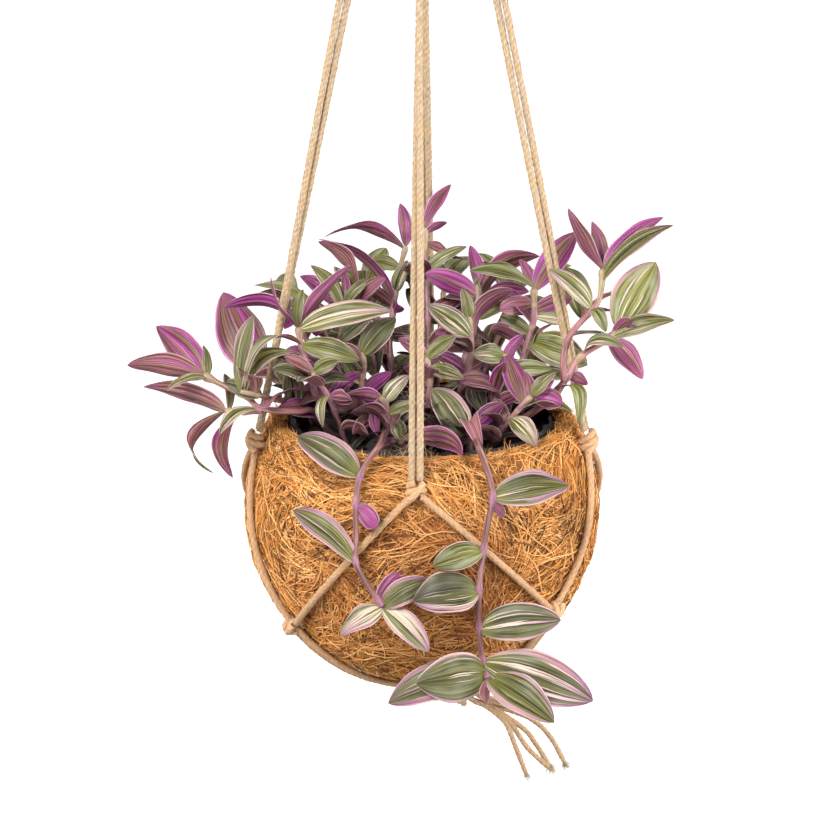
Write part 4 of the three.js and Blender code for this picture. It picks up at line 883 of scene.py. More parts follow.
# %% The stems' places
SHOOTS = [
    ("trail_left", 2.0, [
        [soil(-18, -49), at(387, 434, 62), at(384, 435, 73), hug(379, 446, 10), hug(366, 464, 8),
         hug(359, 480, 8), hug(356, 504, 8), hug(356, 538, 8.5), fall(355, 559, 99), fall(362, 576, 99),
         fall(371, 590, 98), fall(383, 607, 97)]
    ], [
        (356, 475, 298, 436, 33, "t", -12), (356, 506, 375, 528, 18, "u", 8),
        (352, 563, 293, 510, 22, "t", -8), (383, 607, 340, 636, 24, "t", 6),
        (383, 607, 429, 580, 24, "t", 2, 0.18), (383, 607, 429, 652, 25, "t", 8),
        (378, 600, 402, 570, 14, "u", -4),
    ]),
    ("trail_right", 2.0, [
        [soil(24, -48), at(470, 434, 61), at(473, 435, 72), hug(478, 446, 10), hug(485, 464, 8),
         hug(491, 484, 8), hug(493, 500, 8), hug(487, 527, 8), hug(483, 553, 8.5), fall(479, 589, 99),
         fall(479, 622, 98), fall(481, 650, 97), fall(485, 668, 98), fall(489, 679, 106)]
    ], [
        (494, 499, 569, 486, 36, "t", -2), (493, 502, 503, 517, 9, "u", 5),
        (483, 552, 433, 566, 25, "t", 4), (479, 595, 413, 601, 43, "t", 5),
        (480, 632, 561, 620, 36, "t", 3), (482, 662, 593, 701, 47, "t", 3, 0.16),
        (488, 677, 554, 722, 36, "t", 12), (486, 672, 416, 683, 50, "t", 14),
        (485, 668, 388, 703, 42, "t", 0), (489, 679, 486, 704, 12, "u", 16),
    ]),
    ("branch_left", 2.1, [
        [soil(-43, -21), at(316, 412, 38), at(298, 412, 45), at(277, 411, 49), at(258, 407, 49),
         at(248, 398, 47), at(228, 388, 43), at(203, 375, 40)],
        [at(262, 410, 49), at(245, 412, 48), at(225, 411, 45)]
    ], [
        (203, 375, 156, 326, 33, "u", -4), (203, 375, 127, 365, 22, "u", 10),
        (205, 376, 166, 391, 12, "t", 12), (207, 377, 203, 345, 10, "t", -6),
        (226, 411, 143, 387, 22, "u", -10), (228, 411, 223, 366, 13, "t", -10),
        (226, 411, 214, 473, 12, "u", 10, 0.5), (258, 410, 219, 435, 11, "t", 8, 0.25),
        (243, 412, 233, 478, 12, "u", -4, 0.3),
    ]),
    ("stem_left_low", 1.8, [
        [soil(-50, -2), at(300, 396, 8), at(282, 384, 2), at(262, 374, 0), at(254, 370, 0)]
    ], [
        (255, 371, 223, 292, 50, "u", -8, 0.08), (262, 374, 247, 336, 20, "u", 6),
    ]),
    ("stem_left_front", 1.6, [
        [soil(-47, -13), at(300, 404, 30), at(276, 400, 43), at(258, 395, 54), at(240, 391, 57)]
    ], [
        (240, 392, 253, 315, 14, "t", 4, 0.05), (246, 393, 292, 352, 12, "t", -2, 0.3),
    ]),
    ("stem_left_high", 1.8, [
        [soil(-38, -28), at(318, 400, 46), at(309, 368, 46), at(301, 345, 44), at(299, 326, 44)]
    ], [
        (299, 332, 214, 304, 11, "u", 4, 0.22), (299, 325, 272, 278, 10, "u", 2, -0.12),
        (300, 346, 246, 392, 15, "t", 6, 0.3), (299, 330, 393, 311, 27, "t", 6, 0.18),
        (299, 326, 303, 289, 10, "t", 0), (299, 325, 352, 265, 11, "u", -4, 0.05),
        (300, 346, 360, 360, 22, "t", 8), (306, 362, 280, 366, 13, "u", -6),
    ]),
    ("stem_left_rim", 1.5, [
        [soil(-52, -8), at(306, 412, 21), at(295, 407, 22)]
    ], [
        (293, 413, 289, 371, 21, "t", 0), (298, 413, 320, 380, 14, "u", 4),
    ]),
    ("stem_left_back", 1.7, [
        [soil(-36, 14), at(336, 370, 0), at(342, 330, -6), at(344, 303, -8)]
    ], [
        (343, 304, 343, 271, 10, "u", 0), (344, 303, 370, 280, 12, "t", -6),
        (344, 303, 316, 292, 12, "u", -4), (342, 316, 311, 266, 14, "t", -10),
        (342, 322, 299, 275, 12, "u", -14), (340, 340, 374, 316, 18, "t", 4),
        (338, 352, 312, 338, 14, "u", 2),
    ]),
    ("stem_top_left", 1.8, [
        [soil(-12, 22), at(390, 350, -12), at(394, 305, -16), at(400, 268, -18), at(406, 246, -18)]
    ], [
        (406, 250, 323, 238, 13, "u", 4, 0.22), (405, 246, 400, 203, 14, "u", -4),
        (394, 307, 317, 239, 15, "u", 6, 0.18), (397, 290, 408, 260, 14, "t", 10),
        (394, 307, 362, 285, 14, "u", 10), (401, 270, 372, 262, 16, "t", -12),
        (392, 330, 352, 322, 18, "t", 2),
    ]),
    ("stem_left_inner", 1.7, [
        [soil(-26, -18), at(362, 392, 36), at(364, 368, 40), at(362, 352, 42)]
    ], [
        (362, 355, 396, 318, 26, "t", 4), (362, 356, 372, 324, 10, "u", -6),
        (363, 372, 329, 401, 13, "u", 10), (362, 385, 340, 356, 16, "t", -4),
        (362, 396, 392, 372, 14, "u", -6),
    ]),
    ("stem_left_brown", 1.5, [
        [soil(-37, -42), at(330, 400, 60), at(320, 384, 62), at(312, 371, 62)]
    ], [
        (314, 373, 338, 360, 14, "t", 2), (313, 372, 284, 356, 12, "u", -4),
        (328, 398, 352, 400, 16, "u", 8), (326, 396, 323, 428, 11, "t", 8, 0.3),
    ]),
    ("stem_front_left", 1.7, [
        [soil(-14, -40), at(388, 424, 60), at(386, 405, 64), at(380, 396, 66)]
    ], [
        (384, 402, 409, 375, 17, "t", 2), (380, 398, 379, 437, 12, "u", 10, 0.2),
        (386, 408, 352, 434, 14, "u", 8), (382, 398, 346, 394, 15, "u", 2),
        (387, 414, 418, 404, 14, "t", 2),
    ]),
    ("stem_front_rim", 1.5, [
        [soil(-3, -49), at(404, 446, 62), at(400, 439, 66)]
    ], [
        (400, 440, 374, 459, 14, "u", 22, 0.25), (401, 440, 462, 457, 18, "u", 18, 0.2),
        (400, 440, 394, 418, 14, "t", 0),
    ]),
    ("stem_top_back", 1.7, [
        [soil(4, 26), at(428, 340, -10), at(427, 290, -12), at(426, 256, -14), at(425, 228, -14)]
    ], [
        (425, 228, 451, 184, 12, "u", 4, 0.08), (425, 233, 447, 222, 8, "u", 6),
        (426, 243, 449, 253, 11, "u", 8), (426, 272, 467, 247, 15, "t", 6),
        (426, 290, 396, 268, 14, "t", -8), (427, 315, 462, 298, 16, "u", -6),
    ]),
    ("stem_top_mid", 1.8, [
        [soil(20, 10), at(462, 370, 6), at(474, 330, 4), at(479, 300, 4), at(478, 284, 4)]
    ], [
        (478, 290, 470, 245, 14, "u", 0), (478, 296, 425, 274, 22, "u", 8, 0.16),
        (477, 285, 480, 250, 9, "t", 4), (478, 300, 540, 256, 16, "u", 6, 0.25),
        (474, 330, 440, 318, 14, "t", -8), (476, 318, 512, 300, 18, "t", -6),
    ]),
    ("stem_mid", 1.8, [
        [soil(16, -8), at(458, 398, 30), at(470, 362, 30), at(471, 335, 30), at(469, 317, 30)]
    ], [
        (470, 318, 462, 288, 16, "t", 0), (471, 338, 427, 305, 22, "t", 6),
        (470, 329, 514, 290, 12, "u", 4, 0.2), (469, 345, 446, 338, 12, "t", 10),
        (465, 372, 434, 352, 16, "u", -4), (466, 370, 496, 352, 16, "u", -4),
    ]),
    ("stem_right_high", 1.9, [
        [soil(36, 4), at(510, 392, 18), at(526, 350, 20), at(534, 316, 22), at(534, 288, 22)]
    ], [
        (534, 290, 577, 232, 25, "u", 6, 0.1), (534, 312, 572, 298, 17, "u", 8),
        (534, 288, 469, 271, 14, "t", 8, 0.14), (533, 287, 519, 259, 10, "u", -6),
        (533, 304, 500, 310, 18, "u", 10), (530, 334, 500, 316, 15, "t", -8),
        (528, 348, 488, 338, 13, "u", 12, 0.4), (529, 342, 588, 365, 33, "t", 14, 0.12),
        (534, 316, 564, 322, 14, "t", -8),
    ]),
    ("stem_right_mid", 1.7, [
        [soil(25, -24), at(488, 412, 44), at(500, 386, 46), at(506, 366, 46), at(504, 354, 46)]
    ], [
        (504, 356, 472, 354, 19, "t", 8), (506, 372, 552, 369, 16, "t", 8),
        (501, 384, 466, 386, 15, "u", 4), (505, 360, 524, 334, 14, "u", -6),
        (492, 404, 505, 364, 14, "u", 10), (490, 408, 524, 392, 13, "u", 8),
    ]),
    ("stem_front_mid", 1.7, [
        [soil(3, -28), at(429, 404, 50), at(430, 378, 54), at(427, 358, 54)]
    ], [
        (427, 358, 456, 336, 16, "t", 2), (429, 368, 464, 379, 15, "t", 8),
        (427, 360, 398, 338, 15, "u", -4), (430, 386, 404, 366, 14, "u", 2),
        (429, 396, 408, 416, 14, "u", 6),
    ]),
    ("stem_front_right", 1.7, [
        [soil(12, -42), at(456, 445, 54), at(465, 436, 56), at(473, 428, 58)]
    ], [
        (468, 438, 432, 388, 33, "t", 4, 0.08), (473, 430, 504, 403, 17, "u", 2),
        (470, 436, 486, 458, 17, "t", 8, 0.3), (472, 431, 499, 440, 14, "u", 8, 0.35),
    ]),
    ("stem_right_front", 1.7, [
        [soil(33, -37), at(506, 424, 56), at(520, 408, 60), at(532, 396, 62)]
    ], [
        (530, 398, 526, 372, 13, "u", 2), (531, 397, 562, 404, 20, "u", 6, 0.2),
        (512, 420, 536, 446, 20, "t", 8, 0.2), (508, 426, 494, 398, 13, "u", 4),
        (532, 396, 556, 372, 14, "t", -4),
    ]),
    ("branch_right", 2.2, [
        [soil(43, -23), at(521, 421, 40), at(550, 399, 50), at(568, 376, 55), at(580, 357, 56),
         at(607, 340, 54), at(618, 330, 54)],
        [at(564, 381, 55), at(564, 356, 56), at(571, 334, 56), at(590, 312, 52), at(599, 300, 50),
         at(602, 283, 49), at(603, 268, 48)]
    ], [
        (603, 270, 568, 208, 12, "u", 2, -0.05), (603, 269, 592, 221, 16, "u", -6),
        (603, 272, 664, 217, 17, "u", -8, 0.1), (602, 280, 674, 225, 18, "t", 8, 0.12),
        (592, 310, 549, 269, 17, "t", 6), (592, 309, 606, 332, 13, "t", 8, 0.25),
        (618, 330, 656, 262, 42, "t", -2, 0.06), (612, 337, 675, 320, 20, "t", 8),
        (609, 339, 643, 379, 23, "u", -4, 0.15), (612, 336, 632, 320, 13, "u", 14),
        (584, 355, 624, 347, 9, "t", 12, 0.3), (568, 376, 588, 384, 13, "u", 2),
        (558, 390, 578, 424, 12, "t", 14, 0.45),
    ]),
]


def hidden_stem(k):
    """A stem that the view hides: it leans out from the pot's axis."""
    inner = k % 2 == 1
    az = math.radians(12 + k * 21 + (8 if k > 3 else 0) + 5 * chance(k + 1))
    near = 34 + 5 * chance(k + 20) if inner else 53 + 4 * chance(k + 20)
    reach = near + (15 if inner else 29) + 8 * chance(k + 40)
    rise = (60 if inner else 47) + 10 * chance(k + 60)
    c, s = math.cos(az), math.sin(az)
    high = SOIL_HEIGHT + POT_Z
    middle = near * 0.4 + reach * 0.6
    line = [soil(near * c, near * s),
            np.array([(near + 3) * c, (near + 3) * s, high + rise * 0.4]),
            np.array([middle * c, middle * s, high + rise * 0.76]),
            np.array([reach * c, reach * s, high + rise])]
    leaves = []
    for j, spot in enumerate((0.45, 0.66, 0.84, 1, 1)):
        leaves.append({
            "along": spot,
            "turn": az + (1 if j % 2 else -1) * (0.5 + 0.9 * chance(k * 9 + j)) + (0.3 if j > 2 else 0),
            "rise": (0.3 if j > 2 else 0.05) + 0.35 * chance(k * 11 + j),
            "length": 27 + 12 * chance(k * 7 + j),
            "width": 12 + 5 * chance(k * 5 + j)})
    return [f"stem_back_{k + 1}", 1.6, [line], leaves]


def rooted(points):
    """A stem goes straight down into the soil."""
    first = np.array(points[0], float)
    return [first - [0, 0, BURIED], first, first + [0, 0, 4], *points[1:]]


def on_view(p):
    """The pixel that shows each point."""
    v = np.atleast_2d(p) - CENTRE
    scale = MM_PER_PIXEL * (1 - v @ NEAR / VIEW_DISTANCE)
    return np.stack([v @ RIGHT / scale + BALL_X, BALL_Y - v @ UP / scale], 1)


def seen_blade(lines, x, y, tip_x, tip_y, wide, face, out, bow=0.12):
    """Foot, tip, top direction and width of a leaf of the view. Its roll makes a blade of natural
    width look as wide as it does: the cosine of the roll is the share of the width that shows."""
    t = 0.08 + 0.92 * np.arange(61) / 60
    spots = np.concatenate([along(line, t) for line in lines])
    foot = spots[np.argmin(np.hypot(*(on_view(spots) - [x, y]).T))]
    tip = at(tip_x, tip_y, (foot - CENTRE) @ NEAR + out)
    long = np.linalg.norm(tip - foot)
    wide = wide * MM_PER_PIXEL
    width = min(25, max(wide * 1.06, min(0.34 * long, 14)))
    chord = unit(tip - foot)
    facing = unit(NEAR - chord * (NEAR @ chord))
    across = np.cross(chord, facing)
    share = min(1, wide / width) * (1 if face == "t" else -1)
    rest = math.sqrt(max(0, 1 - share * share))
    tops = [facing * share + across * rest, facing * share - across * rest]
    top = tops[0] if tops[0][2] >= tops[1][2] else tops[1]
    return {"foot": foot - chord * SUNK, "tip": tip, "top": top, "width": width, "bow": bow,
            "face": face}


def grown_blade(spec, lines):
    """The same for a leaf of a hidden stem."""
    flat = math.cos(spec["rise"])
    chord = np.array([math.cos(spec["turn"]) * flat, math.sin(spec["turn"]) * flat, math.sin(spec["rise"])])
    foot = along(lines[0], spec["along"])[0] - chord * SUNK
    top = unit(np.array([0, 0, 1.0]) - chord * chord[2])
    tip = foot + chord * spec["length"]
    return {"foot": foot, "tip": tip, "top": top, "width": spec["width"], "bow": 0.14, "face": "t"}


SHIFTS = np.array([
    [0, 0], [5, 0], [-5, 0], [10, 0], [-10, 0], [15, 0], [-15, 0], [20, 0], [-20, 0], [26, 0],
    [-26, 0], [34, 0], [0, 6], [8, 6], [-8, 6], [0, -6], [8, -6], [-8, -6], [16, 6], [-16, 6],
    [16, -6], [-16, -6], [0, 14], [14, 14], [-14, 14], [0, -14], [14, -14], [-14, -14]])


def settled(b, corners):
    """The blade where the CAD solid has it. The CAD source tries a few shifts of the tip until a leaf
    is clear of its neighbours; the shift whose tip lies at corners of the solid is the one it took."""
    best = None
    for shrink in (1, 0.84, 0.68):
        tips = b["tip"] + SHIFTS[:, :1] * NEAR + SHIFTS[:, 1:] * UP
        tips = b["foot"] + (tips - b["foot"]) * (0.5 + 0.5 * shrink)
        far = np.linalg.norm(corners[None] - tips[:, None], axis=2).min(1)
        k = int(np.argmin(far))
        if best is None or far[k] < best[0] - 0.02:
            best = (far[k], tips[k], shrink)
    if best[0] > 0.75:
        return None
    chord = unit(best[1] - b["foot"])
    top = unit(b["top"] - chord * (b["top"] @ chord))
    return {**b, "tip": best[1], "top": top, "width": b["width"] * best[2]}


# One letter for each leaf, in the order of its stem's list: g grey-green, s silver, d dark, y young
# and yellow-green, c creamy, p pink, u dull mauve below, m magenta below, v vivid stripes below,
# b a dusty cup, w nearly white, q and k darker green with pale lines.
LETTERS = {
    "trail_left": "pmpwpwm", "trail_right": "pmgkqqpqpc", "branch_left": "muccuqucm",
    "stem_left_low": "vu", "stem_left_front": "ps", "stem_left_high": "ppgcymgu",
    "stem_left_rim": "gu", "stem_left_back": "pgmspdu", "stem_top_left": "mmmcgsg",
    "stem_left_inner": "dmpgm", "stem_left_brown": "gumc", "stem_front_left": "cmumg",
    "stem_front_rim": "mmg", "stem_top_back": "ppuscm", "stem_top_mid": "pvyugg",
    "stem_mid": "gcmsmu", "stem_right_high": "pmsmugmsc", "stem_right_mid": "gyummp",
    "stem_front_mid": "gcmum", "stem_front_right": "gmbu", "stem_right_front": "mmgug",
    "branch_right": "pmvpcyygwmgmy",
}
# Cream, pink and light of each letter, 0 for none and 1 for much.
KINDS = {
    "g": (0.40, 0.35, 0.55), "s": (0.25, 0.15, 0.70), "d": (0.18, 0.30, 0.12), "y": (0.12, 0.25, 0.75),
    "c": (0.90, 0.35, 0.66), "p": (0.50, 0.90, 0.26), "u": (0.30, 0.28, 0.30), "m": (0.25, 0.80, 0.30),
    "v": (0.20, 1.00, 0.30), "b": (0.00, 0.00, 0.70), "w": (1.50, 0.70, 0.80), "q": (0.40, 0.60, 0.12),
    "k": (0.50, 0.45, -0.10),
}

plants = []
for name, radius, paths, leaves in SHOOTS:
    lines = [p if i else rooted(p) for i, p in enumerate(paths)]
    plants.append((name, radius, lines, [seen_blade(lines, *row) for row in leaves]))
HIDDEN_STEMS = 8
for k in range(HIDDEN_STEMS):
    name, radius, paths, leaves = hidden_stem(k)
    lines = [rooted(paths[0])]
    plants.append((name, radius, lines, [grown_blade(spec, lines) for spec in leaves]))
print("stems:", len(plants), "leaves:", sum(len(p[3]) for p in plants))

# %% [markdown]
# ## Leaf and stem finishes
# The top face is grey-green with a silver bloom, partly painted sheen, streaked lengthwise with cream
# and pink, and pink along the margin. The underside carries the same streaks in magenta and dull
# purple. Both finishes read the leaf's own map: u from foot to tip, v across. Low among the stems,
# painted shade darkens both faces.


# %% Leaf and stem finishes
def leaf_coordinates(add):
    """u, v from -1 to 1, its size, and the leaf's own numbers: seed, cream, pink and light. Light also
    carries painted shade low among the stems.
    """
    u, v, _ = add("split", add("map")).outputs
    tone = add("tone")
    seed, cream, pink = add("channels", tone).outputs
    spot = add("vector", add("product", u, 3.0), add("product", v, 1.4), seed)
    swayed = add("sum", v, add("scaled", add("noise", spot, 1.0, 3.0, 0.55), 0.16, -0.08))
    return u, swayed, add("size", v), seed, cream, pink, tone.outputs["Alpha"]


def streaks(add, u, v, seed, wide, long, offset):
    """Lengthwise streaks, from 0 to 1, that differ from leaf to leaf. wide and long are how many of
    them fit in half the leaf's width and in its length."""
    x = add("sum", add("product", v, wide), add("product", seed, 61.0 + offset))
    spot = add("vector", x, add("product", u, long), add("product", seed, 17.0 + offset))
    return add("noise", spot, 1.0, 2.0, 0.5)


FLESH = {"Subsurface_Radius": (0.004, 0.002, 0.002), "Subsurface_Scale": 0.3}


def leaf_dressed(add, base, rough, v, narrow):
    """Ends a leaf's finish with fine parallel veins and a fleshy, softly shining face."""
    vein = add("product", add("sine", add("product", v, 40.0)), 0.08)
    rib = add("product", add("sine", add("product", v, 11.0)), 0.32)
    height = add("sum", add("sum", vein, add("product", narrow, 0.5)), rib)
    dressed(add, base, rough, height, 0.0007, 0.8, Specular_IOR_Level=0.36, Subsurface_Weight=0.12,
            Coat_Weight=0.05, Coat_Roughness=0.28, **FLESH)


def leaf_top():
    """Olive and grey-green blade with cream and pink streaks that turn lilac towards the tip."""
    material, add = finish("tradescantia_leaf_upper")
    u, v, av, seed, cream, pink, light = leaf_coordinates(add)
    broad = streaks(add, u, v, seed, 2.7, 0.4, 0.0)
    narrow = streaks(add, u, v, seed, 12.0, 0.7, 5.0)
    patch = streaks(add, u, v, seed, 1.2, 2.2, 9.0)
    fine = streaks(add, u, v, seed, 24.0, 1.5, 13.0)
    whole = add("scaled", add("rise", fine, 0.48, 0.4), -0.75, 1.0)
    line = add("rise", narrow, 0.36, 0.64)
    dark = add("blend", line, "#282518", "#5A5935")
    green = add("blend", light, dark, add("blend", line, "#43451B", "#9A9B45"))
    # The silver band is partly the leaf's own silvery tone and partly a painted sheen.
    silver_and_sheen = add("product", add("rise", av, 0.12, 0.4), add("rise", av, 0.98, 0.7))
    silver_and_sheen = add("product", silver_and_sheen, add("rise", patch, 0.36, 0.6))
    bloom_and_sheen = add("product", add("scaled", pink, -0.6, 0.86), add("scaled", light, 0.65, 0.35))
    green = add("blend", add("product", silver_and_sheen, bloom_and_sheen), green, "#A4A68B")
    green = add("blend", add("product", add("rise", u, 0.3, 0.02), 0.5), green, "#85883C")
    band = add("sum", broad, add("scaled", narrow, 0.42, -0.21))
    limit = add("scaled", cream, -0.17, 0.705)
    is_pale = add("rise", add("difference", band, limit), -0.008, 0.022)
    thin = add("rise", add("sum", narrow, add("product", cream, 0.04)), 0.675, 0.7)
    is_pale = add("larger", add("product", is_pale, whole), add("product", thin, 0.8))
    tipward = add("sum", add("product", add("power", u, 2.4), 0.95), add("scaled", pink, 0.4, -0.12))
    tipward = add("larger", tipward, 0.0)
    base = add("blend", is_pale, green, add("blend", tipward, "#E6D6C0", "#AD709B"))
    rim = add("sum", av, add("scaled", broad, 1.0, -0.5))
    rim = add("sum", rim, add("scaled", u, 0.14, -0.1))
    rim = add("rise", add("sum", rim, add("product", pink, 0.32)), 0.97, 1.02)
    rosy = add("blend", tipward, "#BC9792", "#8E4E84")
    rosy = add("blend", add("product", add("rise", narrow, 0.45, 0.6), 0.5), rosy, "#C29AA6")
    base = add("blend", add("product", rim, whole), base, rosy)
    base = add("blend", add("product", add("rise", av, 0.9, 0.98), 0.9), base, "#E8D0C6")
    # Where the light number is below 0, the blade darkens towards near black. This comes from a dark leaf's
    # own tone and from painted shade deep among the stems.
    base = add("blend", add("product", add("rise", light, 0.0, -1.0), 0.85), base, "#140A10")
    leaf_dressed(add, base, 0.46, v, narrow)
    return material


def leaf_under():
    """Mauve underside with vivid magenta bands and brown-olive ones."""
    material, add = finish("tradescantia_leaf_underside")
    u, v, av, seed, _, pink, light = leaf_coordinates(add)
    broad = streaks(add, u, v, seed, 2.7, 0.4, 0.0)
    narrow = streaks(add, u, v, seed, 12.0, 0.7, 5.0)
    line = add("rise", narrow, 0.36, 0.64)
    # The light number is the leaf's own lightness, lowered by painted shade deep among the stems. Low light
    # makes the bands browner and the magenta deeper.
    old = add("product", add("rise", light, 0.75, 0.2), 0.95)
    is_brown = add("product", add("rise", broad, 0.54, 0.42), old)
    dull = add("blend", line, "#693840", "#BC8287")
    dull = add("blend", is_brown, dull, add("blend", line, "#50302B", "#8E6A5A"))
    deep = add("blend", line, "#6C1160", "#A53396")
    vivid = add("blend", add("rise", light, 0.1, 0.5), deep, add("blend", line, "#95357F", "#C070A6"))
    band = add("sum", broad, add("scaled", narrow, 0.3, -0.15))
    band = add("sum", band, add("product", add("rise", av, 0.55, 0.9), 0.05))
    limit = add("scaled", pink, -0.23, 0.715)
    base = add("blend", add("rise", add("difference", band, limit), -0.02, 0.03), dull, vivid)
    # The last tint is painted shade: below 0 light the underside turns near black.
    for share, low, high, strength, tint in (
            (narrow, 0.66, 0.7, 0.55, "#D0A2B2"), (u, 0.75, 1.0, 0.4, "#A5548F"),
            (u, 0.22, 0.0, 0.6, "#9C8A62"), (av, 0.88, 0.97, 0.9, "#DDB6BD"),
            (light, 0.0, -1.0, 0.85, "#160616")):
        base = add("blend", add("product", add("rise", share, low, high), strength), base, tint)
    leaf_dressed(add, base, 0.38, v, narrow)
    return material


def stem_finish():
    """Fleshy stem: grey-purple below, paler and greener towards the tip, lilac at the joints, and
    darkened towards near black by painted shade low among the leaves.
    """
    material, add = finish("tradescantia_stem")
    u, v, _ = add("split", add("map")).outputs
    young, joint, shade_depth = add("channels", add("tone")).outputs
    spot = add("vector", add("product", u, 0.05), add("product", v, 9.0), 0.0)
    grain = add("noise", spot, 1.0, 3.0, 0.55)
    line = add("rise", grain, 0.35, 0.65)
    old = add("blend", line, "#563835", "#9A6A66")
    fresh = add("blend", line, "#7E4A52", "#B98583")
    base = add("blend", add("rise", young, 0.3, 0.75), old, fresh)
    base = add("blend", add("product", add("rise", young, 0.78, 1.0), 0.8), base, "#B2AC66")
    base = add("blend", joint, base, "#B27CA6")
    # Painted shade: the stem darkens towards near black deep among the leaves.
    base = add("blend", add("product", shade_depth, 0.75), base, "#170A10")
    dressed(add, base, 0.42, grain, 0.0004, 0.5, Subsurface_Weight=0.1, **FLESH)
    return material


LEAF_MATERIALS = [leaf_top(), leaf_under(), stem_finish()]

# %% [markdown]
# ## Blades, sheaths and stems
# A blade is a closed lens-shaped section carried from foot to tip along a bowed line. It folds up
# along its midrib, its margin waves a little, and its half width follows one curve from foot to tip.


# %% Blades, sheaths and stems
def blade_surface(heap, b, tone, rows=24, half_cols=9):
    """Point = line(u) + side s h(u) + up (fold |s| h(u) + wave +- thickness). Its half width h is
    2.825 u^0.72 (1 - u)^0.78 of the widest. Side and up turn a little about the line from foot to tip.
    Columns run over the top face from s = -1 to 1 and back under it."""
    seed = tone[0]
    foot, tip, top = b["foot"], b["tip"], b["top"]
    long = np.linalg.norm(tip - foot)
    chord = (tip - foot) / long
    side = unit(np.cross(chord, top))
    bend = (foot + tip) / 2 + top * 2 * b["bow"] * long
    u = np.linspace(0, 1, rows) ** 0.92
    w = u[:, None]
    line = foot * (1 - w) ** 2 + bend * 2 * w * (1 - w) + tip * w**2
    tangent = unit((bend - foot) * (1 - w) + (tip - bend) * w)
    up = unit(np.cross(side, tangent))
    turn = (0.5 * math.sin(40 * seed)) * np.sin(np.pi * u / 2)[:, None] ** 2
    side, up = side * np.cos(turn) + up * np.sin(turn), up * np.cos(turn) - side * np.sin(turn)
    full = 2.825 * u**0.72 * (1 - u) ** 0.78
    half = b["width"] / 2 * 1.05 * full + 0.06
    m = half_cols
    s = np.concatenate([np.linspace(-1, 1, 2 * m + 1), np.linspace(1, -1, 2 * m + 1)[1:-1]])
    s = np.sign(s) * np.abs(s) ** 0.85
    face = np.concatenate([np.ones(2 * m + 1), -np.ones(2 * m - 1)])
    thick = 0.28 * np.sqrt(np.clip(1 - s * s, 0, 1)) * face
    h = half[:, None]
    keel = b.get("fold", 0.27)
    curl = keel * np.abs(s) ** 1.2 * h - 0.1 * h * np.abs(s) ** 3
    phase = 2 * np.pi * (1.5 * u[:, None] + 3 * seed)
    wave = 0.055 * b["width"] * np.sin(phase + 2.0 * np.sign(s)) * np.abs(s) ** 2
    rise = curl + wave * np.sin(np.pi * u[:, None]) + thick * np.minimum(1, 6 * (1 - u[:, None]))
    groove = -0.2 * np.exp(-(s / 0.09) ** 2) * (face > 0)
    rise = rise + groove * full[:, None]
    reach = s * h * (1 - 0.05 * np.abs(s))
    points = line[:, None] + side[:, None] * reach[..., None] + up[:, None] * rise[..., None]
    mats = np.concatenate([np.full(2 * m, int(b.get("dusty", False))), np.ones(2 * m, int)])
    heap.grid(points, u, np.append(s, -1.0), wrap=True, mat=mats, tone=tone)


def shade_depth_of(spots):
    """How deep each point lies among the leaves, for the painted shade of stems and leaves: 1 near the
    soil, 0 from 52 mm above it or where it stands past the rim."""
    local = spots - CENTRE
    low = np.clip(1 - (local[..., 2] - SOIL_HEIGHT - 4) / 48, 0, 1)
    return low * np.clip((67 - np.hypot(local[..., 0], local[..., 1])) / 8, 0, 1)


def stem_surface(heap, path, radius, young, knees, lilac):
    """A round stem that swells at its joints and thins a little towards the tip."""
    run = np.linspace(0, 1, len(path))
    size = radius * (0.92 - 0.26 * run)
    joint = np.zeros(len(path))
    for k in knees:
        near = np.exp(-(((run - k) * len(path)) / 2.6) ** 2)
        size = size + radius * 0.16 * near
        joint = np.maximum(joint, lilac * near)
    size[-1] *= 0.2
    tone = np.zeros((len(path), 12, 4))
    tone[..., 0] = (young[0] + (young[1] - young[0]) * run)[:, None]
    # The third channel is painted shade, deep among the leaves.
    tone[..., 1], tone[..., 2] = joint[:, None], shade_depth_of(path)[:, None]
    heap.grid(tube(path, size, 12), run * 100, np.linspace(0, 1, 13), wrap=True, mat=2, tone=tone)


def sheath(heap, path, k, radius, young, lilac):
    """The leaf's foot clasps the stem as a short sleeve, widest where the blade leaves it."""
    part = path[max(0, k - 4):k + 2]
    if len(part) < 4:
        return
    t = np.linspace(0, 1, len(part))
    size = radius * (1.0 + 0.26 * np.sin(np.pi * t**1.3))
    tone = np.zeros((len(part), 12, 4))
    # The third channel is painted shade, deep among the leaves.
    tone[..., 0], tone[..., 1], tone[..., 2] = young, (lilac * t)[:, None], shade_depth_of(part)[:, None]
    heap.grid(tube(part, size, 12), t * 10, np.linspace(0, 1, 13), wrap=True, mat=2, tone=tone)


# %% [markdown]
# Between the leaves that the view shows one by one, the plant is dense with smaller ones. These grow
# from the same stems, in the gaps between the listed leaves, and only where they touch no cord.

# %% The leaves between
LEAST_GAP = 3.0  # between two leaves' feet
CORDS = np.concatenate([evenly(leg_line(i, k), 6.0) for i in range(4) for k in (0, 1)])


def clear_of_all(b):
    """True where a small blade keeps off the cords and stays above the soil or outside the rim."""
    t = np.linspace(0.15, 1, 6)[:, None]
    spots = b["foot"] + (b["tip"] - b["foot"]) * t + b["top"] * (4 * t * (1 - t)) * b["bow"] * 30
    cord_gap = np.linalg.norm(spots[:, None] - CORDS[None], axis=2).min()
    local = spots - CENTRE
    flat = np.hypot(local[:, 0], local[:, 1])
    inside = (flat < 62) & (local[:, 2] > SOIL_HEIGHT + 3)
    over = local[:, 2] > RIM_HEIGHT + 5
    return cord_gap > 0.5 * b["width"] + 2.5 and bool(np.all(inside | over))


